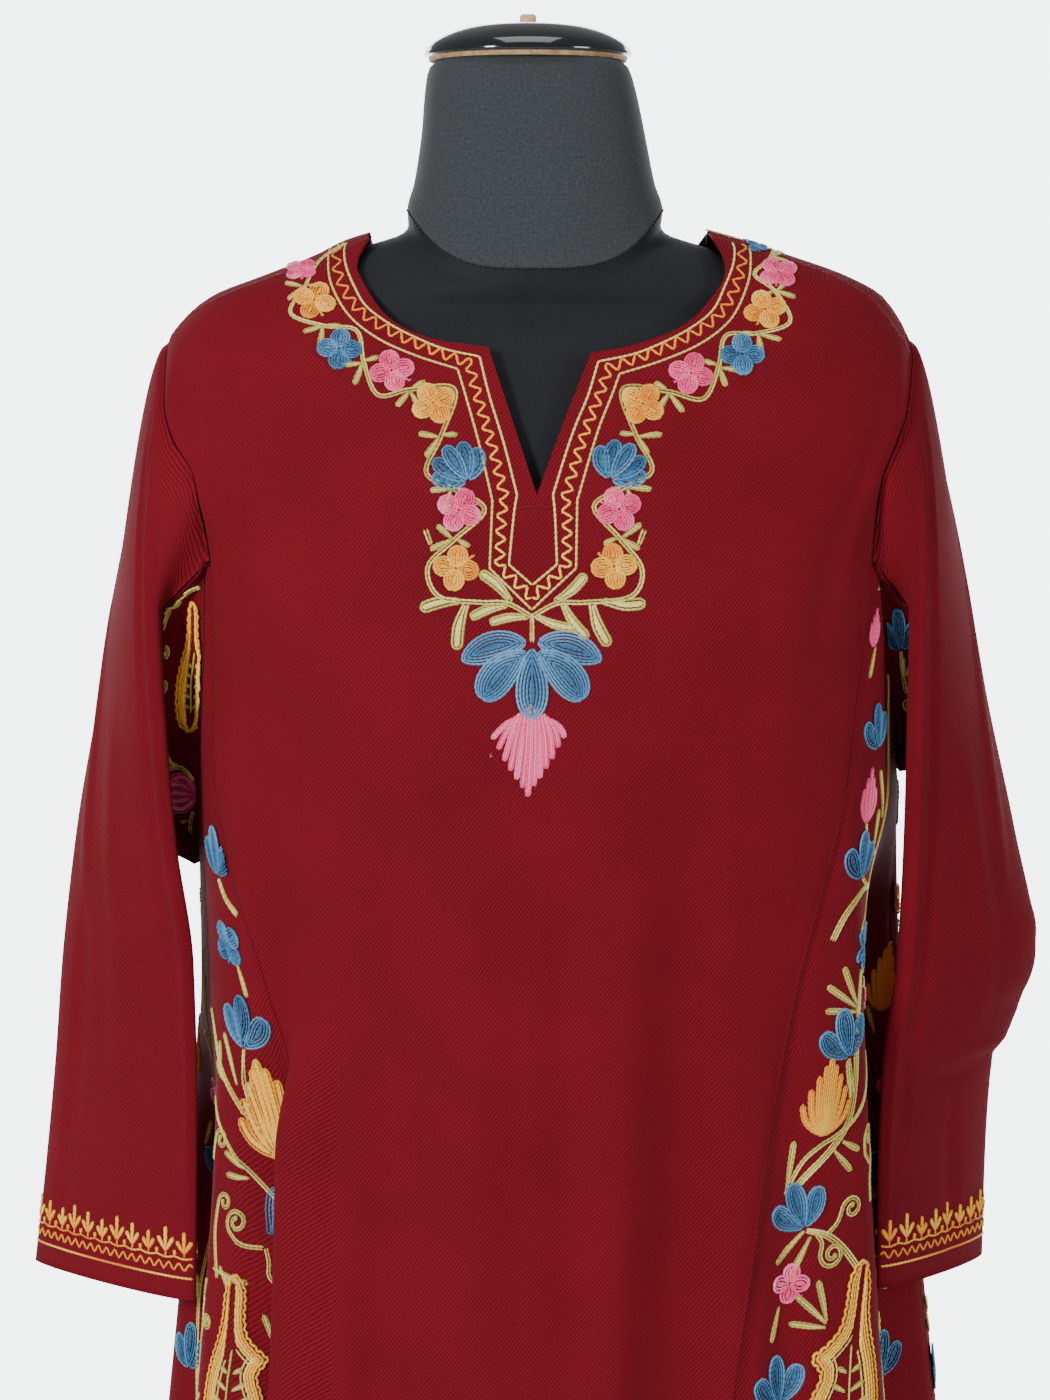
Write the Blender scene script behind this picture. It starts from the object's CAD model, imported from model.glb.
"""A maroon wool pheran with aari chain-stitch embroidery, worn by a black dress form.

Sizes are in millimetres and in the model's own frame, and become metres as each mesh is made.
"""
import math

import bpy
import numpy as np
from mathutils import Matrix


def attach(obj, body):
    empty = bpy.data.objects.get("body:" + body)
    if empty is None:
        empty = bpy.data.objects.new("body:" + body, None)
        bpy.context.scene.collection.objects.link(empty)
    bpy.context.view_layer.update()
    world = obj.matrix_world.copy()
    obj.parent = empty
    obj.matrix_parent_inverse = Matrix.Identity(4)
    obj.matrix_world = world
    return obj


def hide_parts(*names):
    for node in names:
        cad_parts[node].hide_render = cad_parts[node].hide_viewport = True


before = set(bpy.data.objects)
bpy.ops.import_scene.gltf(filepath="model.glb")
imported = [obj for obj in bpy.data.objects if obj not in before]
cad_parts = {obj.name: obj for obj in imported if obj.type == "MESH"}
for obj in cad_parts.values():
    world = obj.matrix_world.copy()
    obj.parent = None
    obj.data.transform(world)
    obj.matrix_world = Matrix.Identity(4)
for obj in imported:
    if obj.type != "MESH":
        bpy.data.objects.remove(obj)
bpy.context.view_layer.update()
MM = 0.001


# ---- driving sizes
CLOTH = 1.5                 # thickness of the twill
SEAM = 0.12                 # gap between two pieces at a seam
HEM_Z = 340
UNDERARM_Z = 1222           # foot of the armholes
GORE_TIP_Z = 1220.6         # where the gores and gussets start, just under the armholes
CAP_FOOT_Z = 1196           # below this the sleeves follow their table
CORNER = 0.04               # how far the body's sections square up from an ellipse
SIGN = {"left": -1, "right": 1}
CUFF_Z = {"left": 821, "right": 828}
GUSSET_FOOT_Z = {"left": 1052, "right": 1105}
GUSSET_SLANT = {"left": 22, "right": 3}  # how much higher the gussets end at the sleeve
GUSSET_SAG = 9              # how far a gusset's layers part
TIP_GAP = 4                 # the gussets' upper points stay this far from the sleeves' edges
CAP_OUT = 34                # how freely a sleeve leaves the armhole before it hangs
ARMHOLE_STEPS = 9           # places from an armhole's foot up to the shoulder, in front and behind
WRAP_STEPS = 2              # places from the front's shoulder seam to the shoulder line
SLEEVE_ROUND = 230          # how much of the weave lies round a sleeve
GUSSET_ACROSS = 60          # and across a gusset
GORE_GRAIN = 0.12           # how far the gores' grain leans
PATCH_EDGE = 2              # needlework stays this far from the ends of a gore or gusset
HEM_STITCHES = 14           # how far above the edge the hem is sewn
SEAM_DIP = 1.1              # how deep the cloth dips at a seam
SEAM_DIP_WIDTH = 3.2        # and how far from the seam it does
TWILL_PITCH = 1.65          # from one rib of the twill to the next
TWILL_TURN = (0.78, -0.63)  # the way across the ribs
KNIT_PITCH = 1.1            # from one rib of the neck's cover to the next
THREAD = 1.75               # width of a row of chain stitch
THREAD_RISE = 0.75          # how high it stands on the cloth
THREAD_ROOT = 0.25          # how deep it is sunk
ROW = 1.6                   # from one row to the next in a filled shape
SHORTEST_ROW = 1.2          # no row is shorter
LINK = 2.9                  # length of a link of the chain
STITCH_STEP = LINK / 2      # a row is wide and narrow in turn
WOOL_DARK, WOOL_LIGHT = (0.080, 0.0016, 0.0048), (0.215, 0.0050, 0.0140)
COOL_WHITE = (0.93, 0.965, 1.0, 1)
BACKDROP_GLOW = 5.2
STUDIO_LIGHT = 0.3          # strength of the light from all round
CAMERA_PLACE = (-0.00165, -2.2, 1.3076)  # in metres
CAMERA_TILT = 4.289         # degrees below the level
CAMERA_LENS = 103.146


def table(columns, *rows):
    """Rows of numbers as named columns, sorted by the first one."""
    data = np.array(sorted(rows), float)
    columns = columns.split()
    return {"key": data[:, 0], **{name: data[:, i] for i, name in enumerate(columns)}}


# The body's sections: half widths from the centre plane, depths from the mid plane.
BODY = table(
    "z half_left half_right front back",
    (1408, 62, 66, 22, 24), (1401, 78, 92, 34, 34), (1394, 100, 117, 42, 42),
    (1386, 116, 142, 48, 53), (1375, 144, 173, 56, 60), (1364, 172, 193, 63, 66),
    (1352, 187, 202, 70, 72), (1335, 199, 211, 82, 80), (1300, 207, 215, 97, 94),
    (1262, 200, 208, 109, 104), (1222, 186, 200, 118, 110), (1160, 182, 200, 127, 114),
    (1080, 181, 204, 127, 116), (1000, 180, 207, 126, 118), (900, 186, 214, 127, 122),
    (751, 200, 228, 131, 130), (540, 224, 253, 139, 142), (340, 246, 276, 147, 154))
# Where the panels meet the gores, and how far round the side the gores reach, in degrees.
GORE_SEAM = table(
    "z front_left front_right back_left back_right",
    (1408, 60, 60, 60, 60), (1222, 62, 63, 62, 63), (1170, 64.5, 58.5, 62.5, 62),
    (1125, 66, 54, 63, 61), (1068, 59, 47, 59, 55), (1001, 47, 39, 51, 47),
    (937, 42, 34, 43, 41), (850, 41, 28.5, 37, 36), (751, 40, 24, 34, 32),
    (340, 35, 20.5, 29, 28))
SIDE = table(
    "z left right",
    (1408, 66, 67), (1222, 62.8, 63.8), (1213, 66, 67), (1160, 72, 74), (1105, 80, 90),
    (1052, 90, 90), (340, 90, 90))

# Folds that run down to the hem. Columns: where each starts and is full, its angle at the top
# and at the hem, its half width in degrees, and its rise, roll and step in millimetres.
FOLDS = (
    (1000, 910, -41, -34, 11, 0, 13, 11),
    (1210, 1000, -47, -22, 10, -6, 0, 0),
    (1150, 800, -22, -13, 9, -5, 0, 0),
    (1180, 850, 22, 13, 8, -13, 0, 0),
    (1080, 700, 40, 22, 6, -7, 0, 0),
    (1100, 1000, 75, 65, 22, -31, 0, 0),
    (1000, 880, -74, -68, 14, -15, 0, 0),
    (1150, 850, -146, -152, 10, -13, 0, 0),
    (1090, 700, 177, 174, 8, -8, 0, 0),
    (1180, 900, 148, 146, 9, -12, 0, 0),
    (980, 800, 128, 124, 9, 0, 8, 8),
    (1000, 700, -120, -122, 8, -12, 0, 0),
)
# Softer creases between two heights: top z, foot z, angle at the top and foot, half width, rise.
CREASES = (
    (1345, 1215, -70, -52, 6, 1.8),
    (1330, 1190, -62, -40, 5, -1.6),
    (1300, 1120, -50, -36, 7, 1.6),
    (1340, 1210, 68, 50, 6, 1.8),
    (1320, 1180, 60, 44, 5, -1.8),
    (1270, 1060, 40, 36, 8, 2.2),
    (1240, 960, -30, -26, 9, 2.4),
    (1120, 700, -8, -6, 6, 2.2),
    (1080, 620, 4, 6, 5, -1.8),
    (1000, 520, 31, 24, 5, 3.0),
    (930, 420, -24, -17, 5, -2.6),
    (900, 360, 15, 9, 4, -2.4),
    (1180, 900, 52, 50, 6, 1.6),
    (1330, 1200, 110, 128, 6, 2.0),
    (1330, 1180, -112, -130, 6, 2.2),
    (1280, 1000, 160, 163, 8, 2.4),
    (1260, 960, -164, -168, 8, -2.2),
    (1100, 600, 165, 160, 6, -3.0),
    (1050, 480, -133, -138, 6, 3.0),
    (1000, 420, 112, 108, 6, 2.6),
    (900, 400, -100, -98, 6, -3.0),
)

# Edge of the neck opening and of the front's shoulder seams, left to right: x, z, lean.
FRONT_TOP = np.array((
    (-197, 1334, 0), (-186, 1351, 0), (-169, 1361, 0), (-141, 1372, 0), (-113, 1382, -6),
    (-86, 1394.5, -15), (-91.5, 1381, 0), (-88, 1370, 0), (-74, 1351, 0), (-52, 1340, 0),
    (-21, 1335, 0), (-9, 1299, 0), (4.5, 1258, 0), (19, 1297, 0), (33, 1332, 0),
    (58, 1337, 0), (84, 1348, 0), (102, 1368, 0), (105, 1382, 0), (98, 1398, 17),
    (126, 1390, 7), (148, 1380, 0), (169, 1371.5, 0), (188, 1358, 0), (209, 1329, 0)), float)
FRONT_CORNERS = (0, 5, 10, 12, 14, 19, 24)
# The back's upper edge: x, z, and 1 where it lies in front of the shoulder line.
BACK_TOP = np.array((
    (-197, 1334, 1), (-186, 1351, 1), (-169, 1361, 1), (-141, 1372, 1), (-113, 1382, 1),
    (-86, 1394.5, 1), (-86.5, 1397, 0), (-84.5, 1391, 0), (-77, 1382, 0), (-60, 1374, 0),
    (-34, 1369, 0), (4, 1367, 0), (40, 1370, 0), (68, 1376, 0), (87, 1385, 0),
    (94, 1393, 0), (97.5, 1398, 0), (98, 1398, 1), (126, 1390, 1), (148, 1380, 1),
    (169, 1371.5, 1), (188, 1358, 1), (209, 1329, 1)), float)
ARMHOLE = {
    "left": table("drop front back", (0, 197, 197), (0.28, 194.5, 194), (0.42, 188.5, 189),
                  (0.6, 176, 179), (1, 167.5, 167.5)),
    "right": table("drop front back", (0, 209, 209), (0.28, 203, 205), (0.42, 196, 198),
                   (0.6, 187, 189), (1, 181.5, 181.5)),
}
SHOULDER_Z = {"left": 1334, "right": 1329}

# Sleeves: the front fold, the back fold, and the bulge of the two layers between them.
SLEEVE = {
    "left": table(
        "z front_out front_y back_out back_y outer inner",
        (1250, 199, -58, 208, 44, 12, 7), (1200, 198, -61, 224, 42, 13, 7),
        (1140, 195, -62, 237, 40, 12, 7), (1070, 189, -62, 251, 38, 11, 7),
        (1005, 180, -62, 260, 38, 9, 7), (935, 178.5, -61, 266, 41, 9, 7),
        (878, 179, -60, 272, 44, 9, 7), (821, 180, -60, 279, 47, 9, 7)),
    "right": table(
        "z front_out front_y back_out back_y outer inner",
        (1250, 205, -58, 229, 42, 13, 7), (1200, 205, -60, 242, 38, 12, 7),
        (1140, 204, -60, 254, 34, 12, 8), (1070, 202, -60, 270, 30, 12, 8),
        (1000, 198, -60, 283, 28, 12, 8), (966, 193, -60, 272, 29, 13, 8),
        (936, 190.5, -60, 259, 30, 10, 7), (880, 189, -60, 256, 31, 9, 7),
        (828, 189, -60, 255, 32, 9, 7)),
}
# Creases of the sleeves: top z, foot z, place round the section at both, half width, rise.
SLEEVE_CREASES = {
    "left": ((1330, 860, 22, 20, 9, 2.2), (1330, 900, 40, 36, 10, -1.8), (1150, 900, 90, 84, 14, 1.6),
             (1050, 830, 120, 128, 12, -1.6), (1230, 1010, 130, 120, 12, 1.8),
             (1180, 880, 240, 246, 14, 2.0), (1000, 830, 290, 285, 12, -1.6)),
    "right": ((1330, 850, 24, 22, 9, 2.2), (1300, 900, 44, 40, 10, -2.0), (1120, 960, 84, 96, 14, 1.8),
              (1230, 1030, 124, 116, 12, 1.6), (930, 832, 92, 100, 12, -1.4),
              (1180, 880, 240, 246, 14, 2.0), (1000, 840, 290, 285, 12, -1.6)),
}
# Creases across the right elbow: height, half height, place where deepest, half width, rise.
ELBOW_CREASES = (
    (941, 5, 120, 75, -3.4), (951, 9, 125, 70, 3.0), (975, 9, 140, 50, -1.6),
    (1016, 14, 150, 60, 1.6),
)


# ---- reading the tables
def mix(a, b, t):
    return a + (b - a) * t


def ease(t):
    t = np.clip(t, 0, 1)
    return t * t * (3 - 2 * t)


def at(tab, column, value):
    """A smooth curve through a column of a table, with no overshoot."""
    x, y = tab["key"], tab[column]
    slope = np.diff(y) / np.diff(x)
    before, after = slope[:-1], slope[1:]
    same_way = before * after > 0
    total = np.where(same_way, before + after, 1)
    inner = np.where(same_way, 2 * before * after / total, 0)
    tangent = np.concatenate(([slope[0]], inner, [slope[-1]]))
    value = np.clip(value, x[0], x[-1])
    i = np.clip(np.searchsorted(x, value) - 1, 0, len(x) - 2)
    step = x[i + 1] - x[i]
    t = (value - x[i]) / step
    return (y[i] * (1 + 2 * t) * (1 - t) ** 2 + tangent[i] * step * t * (1 - t) ** 2
            + y[i + 1] * t * t * (3 - 2 * t) + tangent[i + 1] * step * t * t * (t - 1))


def through(points, where, corners):
    """A curve through points at whole numbers of where, with corners only where they are named."""
    points = np.asarray(points, float)
    where = np.clip(where, 0, len(points) - 1)
    i = np.minimum(where.astype(int), len(points) - 2)
    t = (where - i)[..., None]
    start, end = points[i], points[i + 1]
    before, after = points[np.maximum(i - 1, 0)], points[np.minimum(i + 2, len(points) - 1)]
    sharp_start = np.isin(i, corners)[..., None]
    sharp_end = np.isin(i + 1, corners)[..., None]
    leave = np.where(sharp_start, end - start, (end - before) / 2)
    arrive = np.where(sharp_end, end - start, (after - start) / 2)
    return (start * (1 + 2 * t) * (1 - t) ** 2 + leave * t * (1 - t) ** 2
            + end * t * t * (3 - 2 * t) + arrive * t * t * (t - 1))


def curve(points, per, corners=()):
    """A curve through points, with per steps from each to the next."""
    places = np.linspace(0, len(points) - 1, (len(points) - 1) * per + 1)
    return through(points, places, corners)


def distances(path):
    """How far along a path each of its points is."""
    return np.concatenate(([0], np.cumsum(np.linalg.norm(np.diff(path, axis=0), axis=1))))


def resampled(path, there, marks):
    """Points of a flat path at distances along it."""
    return np.stack([np.interp(marks, there, path[:, k]) for k in (0, 1)], -1)


# ---- the body's surface
def across(a):
    """How far out a section is at an angle, as a share of its half width."""
    return (np.sin(np.radians(a)) + CORNER * np.sin(np.radians(3 * a))) / (1 - CORNER)


def along(a):
    """How far forward it is there, as a share of its depth."""
    return (np.cos(np.radians(a)) - CORNER * np.cos(np.radians(3 * a))) / (1 - CORNER)


def section(a, z):
    wide, deep = across(a), along(a)
    half = np.where(wide < 0, at(BODY, "half_left", z), at(BODY, "half_right", z))
    depth = np.where(deep < 0, at(BODY, "back", z), at(BODY, "front", z))
    return half * wide, -depth * deep


def body(a, z):
    """Points of the body's cloth at angles round it and at heights, folds and creases included."""
    a, z = np.broadcast_arrays(np.asarray(a, float), np.asarray(z, float))
    x, y = section(a, z)
    right, left = section(a + 1, z), section(a - 1, z)
    tx, ty = right[0] - left[0], right[1] - left[1]
    length = np.hypot(tx, ty)
    tx, ty = tx / length, ty / length
    nx, ny = ty, -tx
    for from_z, full_z, top, hem, half_width, rise, roll, step in FOLDS:
        strength = ease((from_z - z) / (from_z - full_z))
        middle = mix(top, hem, np.clip((from_z - z) / (from_z - HEM_Z), 0, 1))
        phase = np.clip(((a - middle + 180) % 360 - 180) / half_width, -1, 1)
        hump = (1 + np.cos(np.pi * phase)) / 2
        wave = np.sin(np.pi * phase) * np.sign(middle)
        out = strength * (rise * hump - step * wave)
        sideways = -strength * roll * wave * np.sign(middle)
        x, y = x + nx * out + tx * sideways, y + ny * out + ty * sideways
    for top_z, foot_z, top, foot, half_width, rise in CREASES:
        t = np.clip((top_z - z) / (top_z - foot_z), 0, 1)
        phase = np.clip(((a - mix(top, foot, t) + 180) % 360 - 180) / half_width, -1, 1)
        out = rise * np.sin(np.pi * t) * (1 + np.cos(np.pi * phase)) / 2
        x, y = x + nx * out, y + ny * out
    return np.stack((x, y, z), -1)


def arc(a, z, steps=40):
    """Distance round the body from the middle of the front, for the weave and the needlework."""
    total = 0
    x, y = section(0 * a, z)
    for k in range(1, steps + 1):
        next_x, next_y = section(a * k / steps, z)
        total = total + np.hypot(next_x - x, next_y - y)
        x, y = next_x, next_y
    return total * np.sign(a)


def angle_at(x, z, back=False):
    """The angle at which the body is x wide at a height."""
    x, z = np.broadcast_arrays(np.asarray(x, float), np.asarray(z, float))
    half = np.where(x < 0, at(BODY, "half_left", z), at(BODY, "half_right", z))
    target = np.clip(np.abs(x) / half, 0, 1)
    low, high = np.zeros_like(target), np.full_like(target, 90.0)
    for _ in range(26):
        middle = (low + high) / 2
        under = across(middle) < target
        low, high = np.where(under, middle, low), np.where(under, high, middle)
    angle = np.where(back, 180 - low, low)
    return np.where(x < 0, -angle, angle)


def on_body(x, z, back=False):
    return body(angle_at(x, z, back), z)


def ridge(x):
    """Height of the shoulder line at distances from the centre plane."""
    low, high = np.full(np.shape(x), 1300.0), np.full(np.shape(x), 1408.0)
    for _ in range(26):
        middle = (low + high) / 2
        half = np.where(x < 0, at(BODY, "half_left", middle), at(BODY, "half_right", middle))
        wide = half > np.abs(x)
        low, high = np.where(wide, middle, low), np.where(wide, high, middle)
    return low


def armhole_pull(face, drop, u):
    """How far a panel's points move sideways for its edges to follow the armholes."""
    def pull(side):
        edge = SIGN[side] * at(ARMHOLE[side], face, drop)
        ends = [SIGN[side] * at(ARMHOLE[side], face, end) for end in (0.0, 1.0)]
        return edge - mix(ends[0], ends[1], drop)
    return pull("left") * (1 - u) ** 4 + pull("right") * u ** 4


def spaced(start, end, step):
    return np.linspace(start, end, max(2, int(round(abs(end - start) / step)) + 1))


def behind(a):
    """The angle behind that lies as far out as one in front."""
    return np.where(a < 0, -180, 180) - a


def skirt(face, u, z):
    """Angles of a panel's points below the armholes."""
    left = -at(GORE_SEAM, face + "_left", z)
    right = at(GORE_SEAM, face + "_right", z)
    angle = mix(left[:, None], right[:, None], u[None])
    return angle if face == "front" else behind(angle)


def front_sheet(per_point=5, step=6):
    """Angles and heights of the front's points, in rows from the top."""
    places = np.linspace(0, len(FRONT_TOP) - 1, (len(FRONT_TOP) - 1) * per_point + 1)
    top = through(FRONT_TOP, places, FRONT_CORNERS)
    u = places / places[-1]
    z = spaced(UNDERARM_Z, HEM_Z, step)
    lower = skirt("front", u, z)
    foot_x = section(lower[0], UNDERARM_Z)[0]
    rows_a, rows_z = [], []
    for drop in (np.arange(36) / 36) ** 1.3:
        lean = top[:, 2] * (1 - (1 - drop) ** 8) * (1 - drop)
        x = mix(top[:, 0], foot_x, drop) + lean + armhole_pull("front", drop, u)
        row_z = mix(top[:, 1], UNDERARM_Z, drop)
        rows_a.append(angle_at(x, row_z))
        rows_z.append(row_z)
    a = np.vstack((np.array(rows_a), lower))
    return a, np.vstack((np.array(rows_z), np.repeat(z[:, None], len(u), 1)))


def back_sheet(per_point=4, step=7):
    """The same for the back, which starts in front of the shoulder line and goes over it."""
    corners = [i for i in range(len(BACK_TOP)) if BACK_TOP[i, 2] != BACK_TOP[max(i - 1, 0), 2]]
    corners += [i - 1 for i in corners] + [0, len(BACK_TOP) - 1]
    places = np.linspace(0, len(BACK_TOP) - 1, (len(BACK_TOP) - 1) * per_point + 1)
    top = through(BACK_TOP, places, corners)
    wraps = top[:, 2] > 0.5
    u = places / places[-1]
    z = spaced(UNDERARM_Z, HEM_Z, step)
    lower = skirt("back", u, z)
    foot_x = section(lower[0], UNDERARM_Z)[0]
    start_z = np.where(wraps, ridge(top[:, 0]), top[:, 1])
    wrap_rows, drop_rows = 6, 34
    rows_a, rows_z = [], []
    for j in range(wrap_rows + drop_rows):
        drop = (max(0, j - wrap_rows) / drop_rows) ** 1.6
        share = np.where(wraps, drop, (j / (wrap_rows + drop_rows)) ** 1.4)
        x = mix(top[:, 0], foot_x, share) + armhole_pull("back", drop, u)
        row_z = mix(start_z, UNDERARM_Z, share)
        a = angle_at(x, row_z, True)
        if j < wrap_rows:
            lift = j / wrap_rows
            rise_z = mix(top[:, 1], start_z, lift * (2 - lift))
            row_z = np.where(wraps, rise_z, row_z)
            a = np.where(wraps, angle_at(top[:, 0], row_z), a)
        rows_a.append(a)
        rows_z.append(row_z)
    a = np.vstack((np.array(rows_a), lower))
    return a, np.vstack((np.array(rows_z), np.repeat(z[:, None], len(u), 1)))


def gore_angle(face, side, share, z):
    angle = mix(at(GORE_SEAM, f"{face}_{side}", z), at(SIDE, side, z), share)
    return SIGN[side] * (angle if face == "front" else 180 - angle)


# ---- sleeves and gussets
def sleeve_section(side, z, place):
    """Points of a flat tube. place is 0 at the front fold, 90 on the outer layer, 180 behind."""
    z, place = np.broadcast_arrays(np.asarray(z, float), np.asarray(place, float))
    col = {name: at(SLEEVE[side], name, z) for name in SLEEVE[side] if name not in ("key", "z")}
    fx, fy = SIGN[side] * col["front_out"], col["front_y"]
    bx, by = SIGN[side] * col["back_out"], col["back_y"]
    cx, cy = bx - fx, by - fy
    length = np.hypot(cx, cy)
    ox, oy = SIGN[side] * cy / length, -SIGN[side] * cx / length
    turn = np.radians(place)
    bulge = np.where(np.sin(turn) > 0, col["outer"], col["inner"]) * np.sin(turn)
    outward = np.where(np.sin(turn) > 0, 1, -1)
    for top_z, foot_z, top, foot, half_width, rise in SLEEVE_CREASES[side]:
        t = np.clip((top_z - z) / (top_z - foot_z), 0, 1)
        phase = np.clip(((place - mix(top, foot, t) + 180) % 360 - 180) / half_width, -1, 1)
        bulge = bulge + outward * rise * np.sin(np.pi * t) ** 0.7 * (1 + np.cos(np.pi * phase)) / 2
    if side == "right":
        for height, half_height, deepest, half_width, rise in ELBOW_CREASES:
            up = np.clip((z - height - (place - deepest) * 0.06) / half_height, -1, 1)
            phase = np.clip((place - deepest) / half_width, -1, 1)
            hump = (1 + np.cos(np.pi * up)) * (1 + np.cos(np.pi * phase)) / 4
            bulge = bulge + outward * rise * hump
    s = (1 - np.cos(turn)) / 2
    return np.stack((fx + cx * s + ox * bulge, fy + cy * s + oy * bulge, z), -1)


def sleeve_edges(side, z):
    """The places round a sleeve where the gusset meets it, in front and behind."""
    foot = GUSSET_FOOT_Z[side]
    opening = np.clip((z - foot) / (UNDERARM_Z - foot), 0, 1)
    return mix(-90, -24, opening), mix(270, 204, opening)


def armhole_x(side, face, drop):
    """How far an armhole seam is from the centre plane."""
    angle = float(at(GORE_SEAM, f"{face}_{side}", UNDERARM_Z))
    foot = abs(float(body(SIGN[side] * (angle if face == "front" else behind(angle)), UNDERARM_Z)[0]))
    return at(ARMHOLE[side], face, drop) + drop * (foot - at(ARMHOLE[side], face, 1.0))


def armhole_curve(side, places):
    """Points of the armhole seam, from its foot in front over the shoulder to its foot behind."""
    sign, top_z = SIGN[side], SHOULDER_Z[side]
    line = float(ridge(np.array([sign * at(ARMHOLE[side], "front", 0.0)]))[0])
    points = []
    for place in places:
        if place <= ARMHOLE_STEPS:
            drop = ((ARMHOLE_STEPS - place) / ARMHOLE_STEPS) ** 1.6
            points.append(on_body(sign * armhole_x(side, "front", drop),
                                  mix(top_z, UNDERARM_Z, drop)))
        elif place <= ARMHOLE_STEPS + WRAP_STEPS:
            lift = (place - ARMHOLE_STEPS) / WRAP_STEPS
            x = sign * at(ARMHOLE[side], "front", 0.0)
            points.append(on_body(x, mix(top_z, line, lift * (2 - lift))))
        else:
            drop = ((place - ARMHOLE_STEPS - WRAP_STEPS) / ARMHOLE_STEPS) ** 1.6
            points.append(on_body(sign * armhole_x(side, "back", drop),
                                  mix(line, UNDERARM_Z, drop), True))
    return np.array(points).reshape(-1, 3)


def sleeve_sheet(side, per_step=5, step=5):
    """Points of a sleeve in rows from the armhole to the cuff, and their places round it."""
    count = 2 * ARMHOLE_STEPS + WRAP_STEPS
    places = np.linspace(0, count, count * per_step + 1)
    seam = armhole_curve(side, places)
    share = places / count

    def row(z):
        start, end = sleeve_edges(side, z)
        return sleeve_section(side, z, mix(start, end, share))
    foot = row(CAP_FOOT_Z)
    straight = foot - seam
    span = np.linalg.norm(straight, axis=1)[:, None]
    free = np.sin(np.pi * share)[:, None] ** 0.7
    leave = mix(straight, np.array((SIGN[side] * CAP_OUT, 0, -CAP_OUT * 0.7)), free)
    arrive = mix(straight, (row(CAP_FOOT_Z - 5) - foot) * span / 5, free)
    rows = []
    for t in np.arange(26) / 26:
        rows.append(seam * (1 + 2 * t) * (1 - t) ** 2 + leave * t * (1 - t) ** 2
                    + foot * t * t * (3 - 2 * t) + arrive * t * t * (t - 1))
    rows += [row(z) for z in spaced(CAP_FOOT_Z, CUFF_Z[side], step)]
    return np.array(rows)


def gusset_point(side, face, share, z):
    """A point of the gusset: share runs from the gore to the sleeve."""
    column = 0 if face == "front" else 1
    gore_side = body(SIGN[side] * (at(SIDE, side, z) if face == "front"
                                   else 180 - at(SIDE, side, z)), z)
    edge = sleeve_section(side, z, sleeve_edges(side, z)[column])
    ends = (0, 2 * ARMHOLE_STEPS + WRAP_STEPS)
    tip = armhole_curve(side, ends[column:column + 1])[0]
    foot = sleeve_section(side, CAP_FOOT_Z, sleeve_edges(side, CAP_FOOT_Z)[column])
    climb = np.clip((UNDERARM_Z - z) / (UNDERARM_Z - CAP_FOOT_Z), 0, 1)[..., None]
    above = tip + (foot - tip) * climb - np.minimum(1, 3 * climb) * (SIGN[side] * TIP_GAP, 0, 0)
    edge = np.where((z > CAP_FOOT_Z)[..., None], above, edge)
    point = mix(gore_side, edge, share[..., None])
    wide = np.linalg.norm(edge - gore_side, axis=-1)
    bend = GUSSET_SAG * np.sin(np.pi * share) * np.minimum(1, wide / 25)
    point[..., 1] += bend if face == "front" else -bend
    return point


# ---- meshes
def new_mesh(name, points, faces, materials, smooth=True):
    """A piece from points in millimetres and a list of faces."""
    mesh = bpy.data.meshes.new(name)
    mesh.from_pydata((np.asarray(points) * MM).tolist(), [], faces)
    for material in materials:
        mesh.materials.append(material)
    if smooth:
        mesh.polygons.foreach_set("use_smooth", np.ones(len(mesh.polygons), bool))
    mesh.update()
    piece = bpy.data.objects.new(name, mesh)
    bpy.context.scene.collection.objects.link(piece)
    return piece


def add_vectors(piece, name, values):
    layer = piece.data.attributes.new(name, "FLOAT_VECTOR", "POINT")
    layer.data.foreach_set("vector", np.asarray(values, np.float32).ravel())


def add_values(piece, name, values):
    layer = piece.data.attributes.new(name, "FLOAT", "POINT")
    layer.data.foreach_set("value", np.asarray(values, np.float32).ravel())


def quads(rows, columns, start=0, flip=False):
    index = start + np.arange(rows * columns).reshape(rows, columns)
    a, b, c, d = index[:-1, :-1], index[1:, :-1], index[1:, 1:], index[:-1, 1:]
    order = (a, d, c, b) if flip else (a, b, c, d)
    return np.stack(order, -1).reshape(-1, 4)


def rim_quads(outer, inner, flip=False):
    """Quads between two lines of point numbers, one on each layer."""
    a, b, c, d = outer[:-1], outer[1:], inner[1:], inner[:-1]
    return np.stack((a, d, c, b) if flip else (a, b, c, d), -1)


def grid_normals(points):
    down = np.gradient(points, axis=0)
    right = np.gradient(points, axis=1)
    normal = np.cross(down, right)
    return normal / np.maximum(np.linalg.norm(normal, axis=-1, keepdims=True), 1e-9)


def body_normals(a, z):
    around = body(a + 0.5, z) - body(a - 0.5, z)
    up = body(a, z + 1) - body(a, z - 1)
    normal = np.cross(around, up)
    return normal / np.linalg.norm(normal, axis=-1, keepdims=True)


def from_edge(points, axis, sides):
    """Distance of each point from the named edges, 0 the first and -1 the last, along one axis."""
    step = np.linalg.norm(np.diff(points, axis=axis), axis=-1)
    there = np.cumsum(step, axis=axis)
    total = np.take(there, [-1], axis=axis)
    there = np.concatenate((np.zeros_like(total), there), axis=axis)
    back = total - there
    away = [there if side == 0 else back for side in sides]
    return np.minimum.reduce(away)


def trimmed(points, columns=True, top=True):
    """Pulls a sheet's edges in by half the gap of a seam."""
    points = points.copy()

    def pull(edge, inner):
        step = inner - edge
        return edge + step / np.maximum(np.linalg.norm(step, axis=-1, keepdims=True), 1e-9) * SEAM / 2
    if columns:
        points[:, 0] = pull(points[:, 0], points[:, 1])
        points[:, -1] = pull(points[:, -1], points[:, -2])
    if top:
        points[0] = pull(points[0], points[1])
    return points


SIDE_SEAMS, TOP_SEAM = (1, (0, -1)), (0, (0,))


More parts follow.
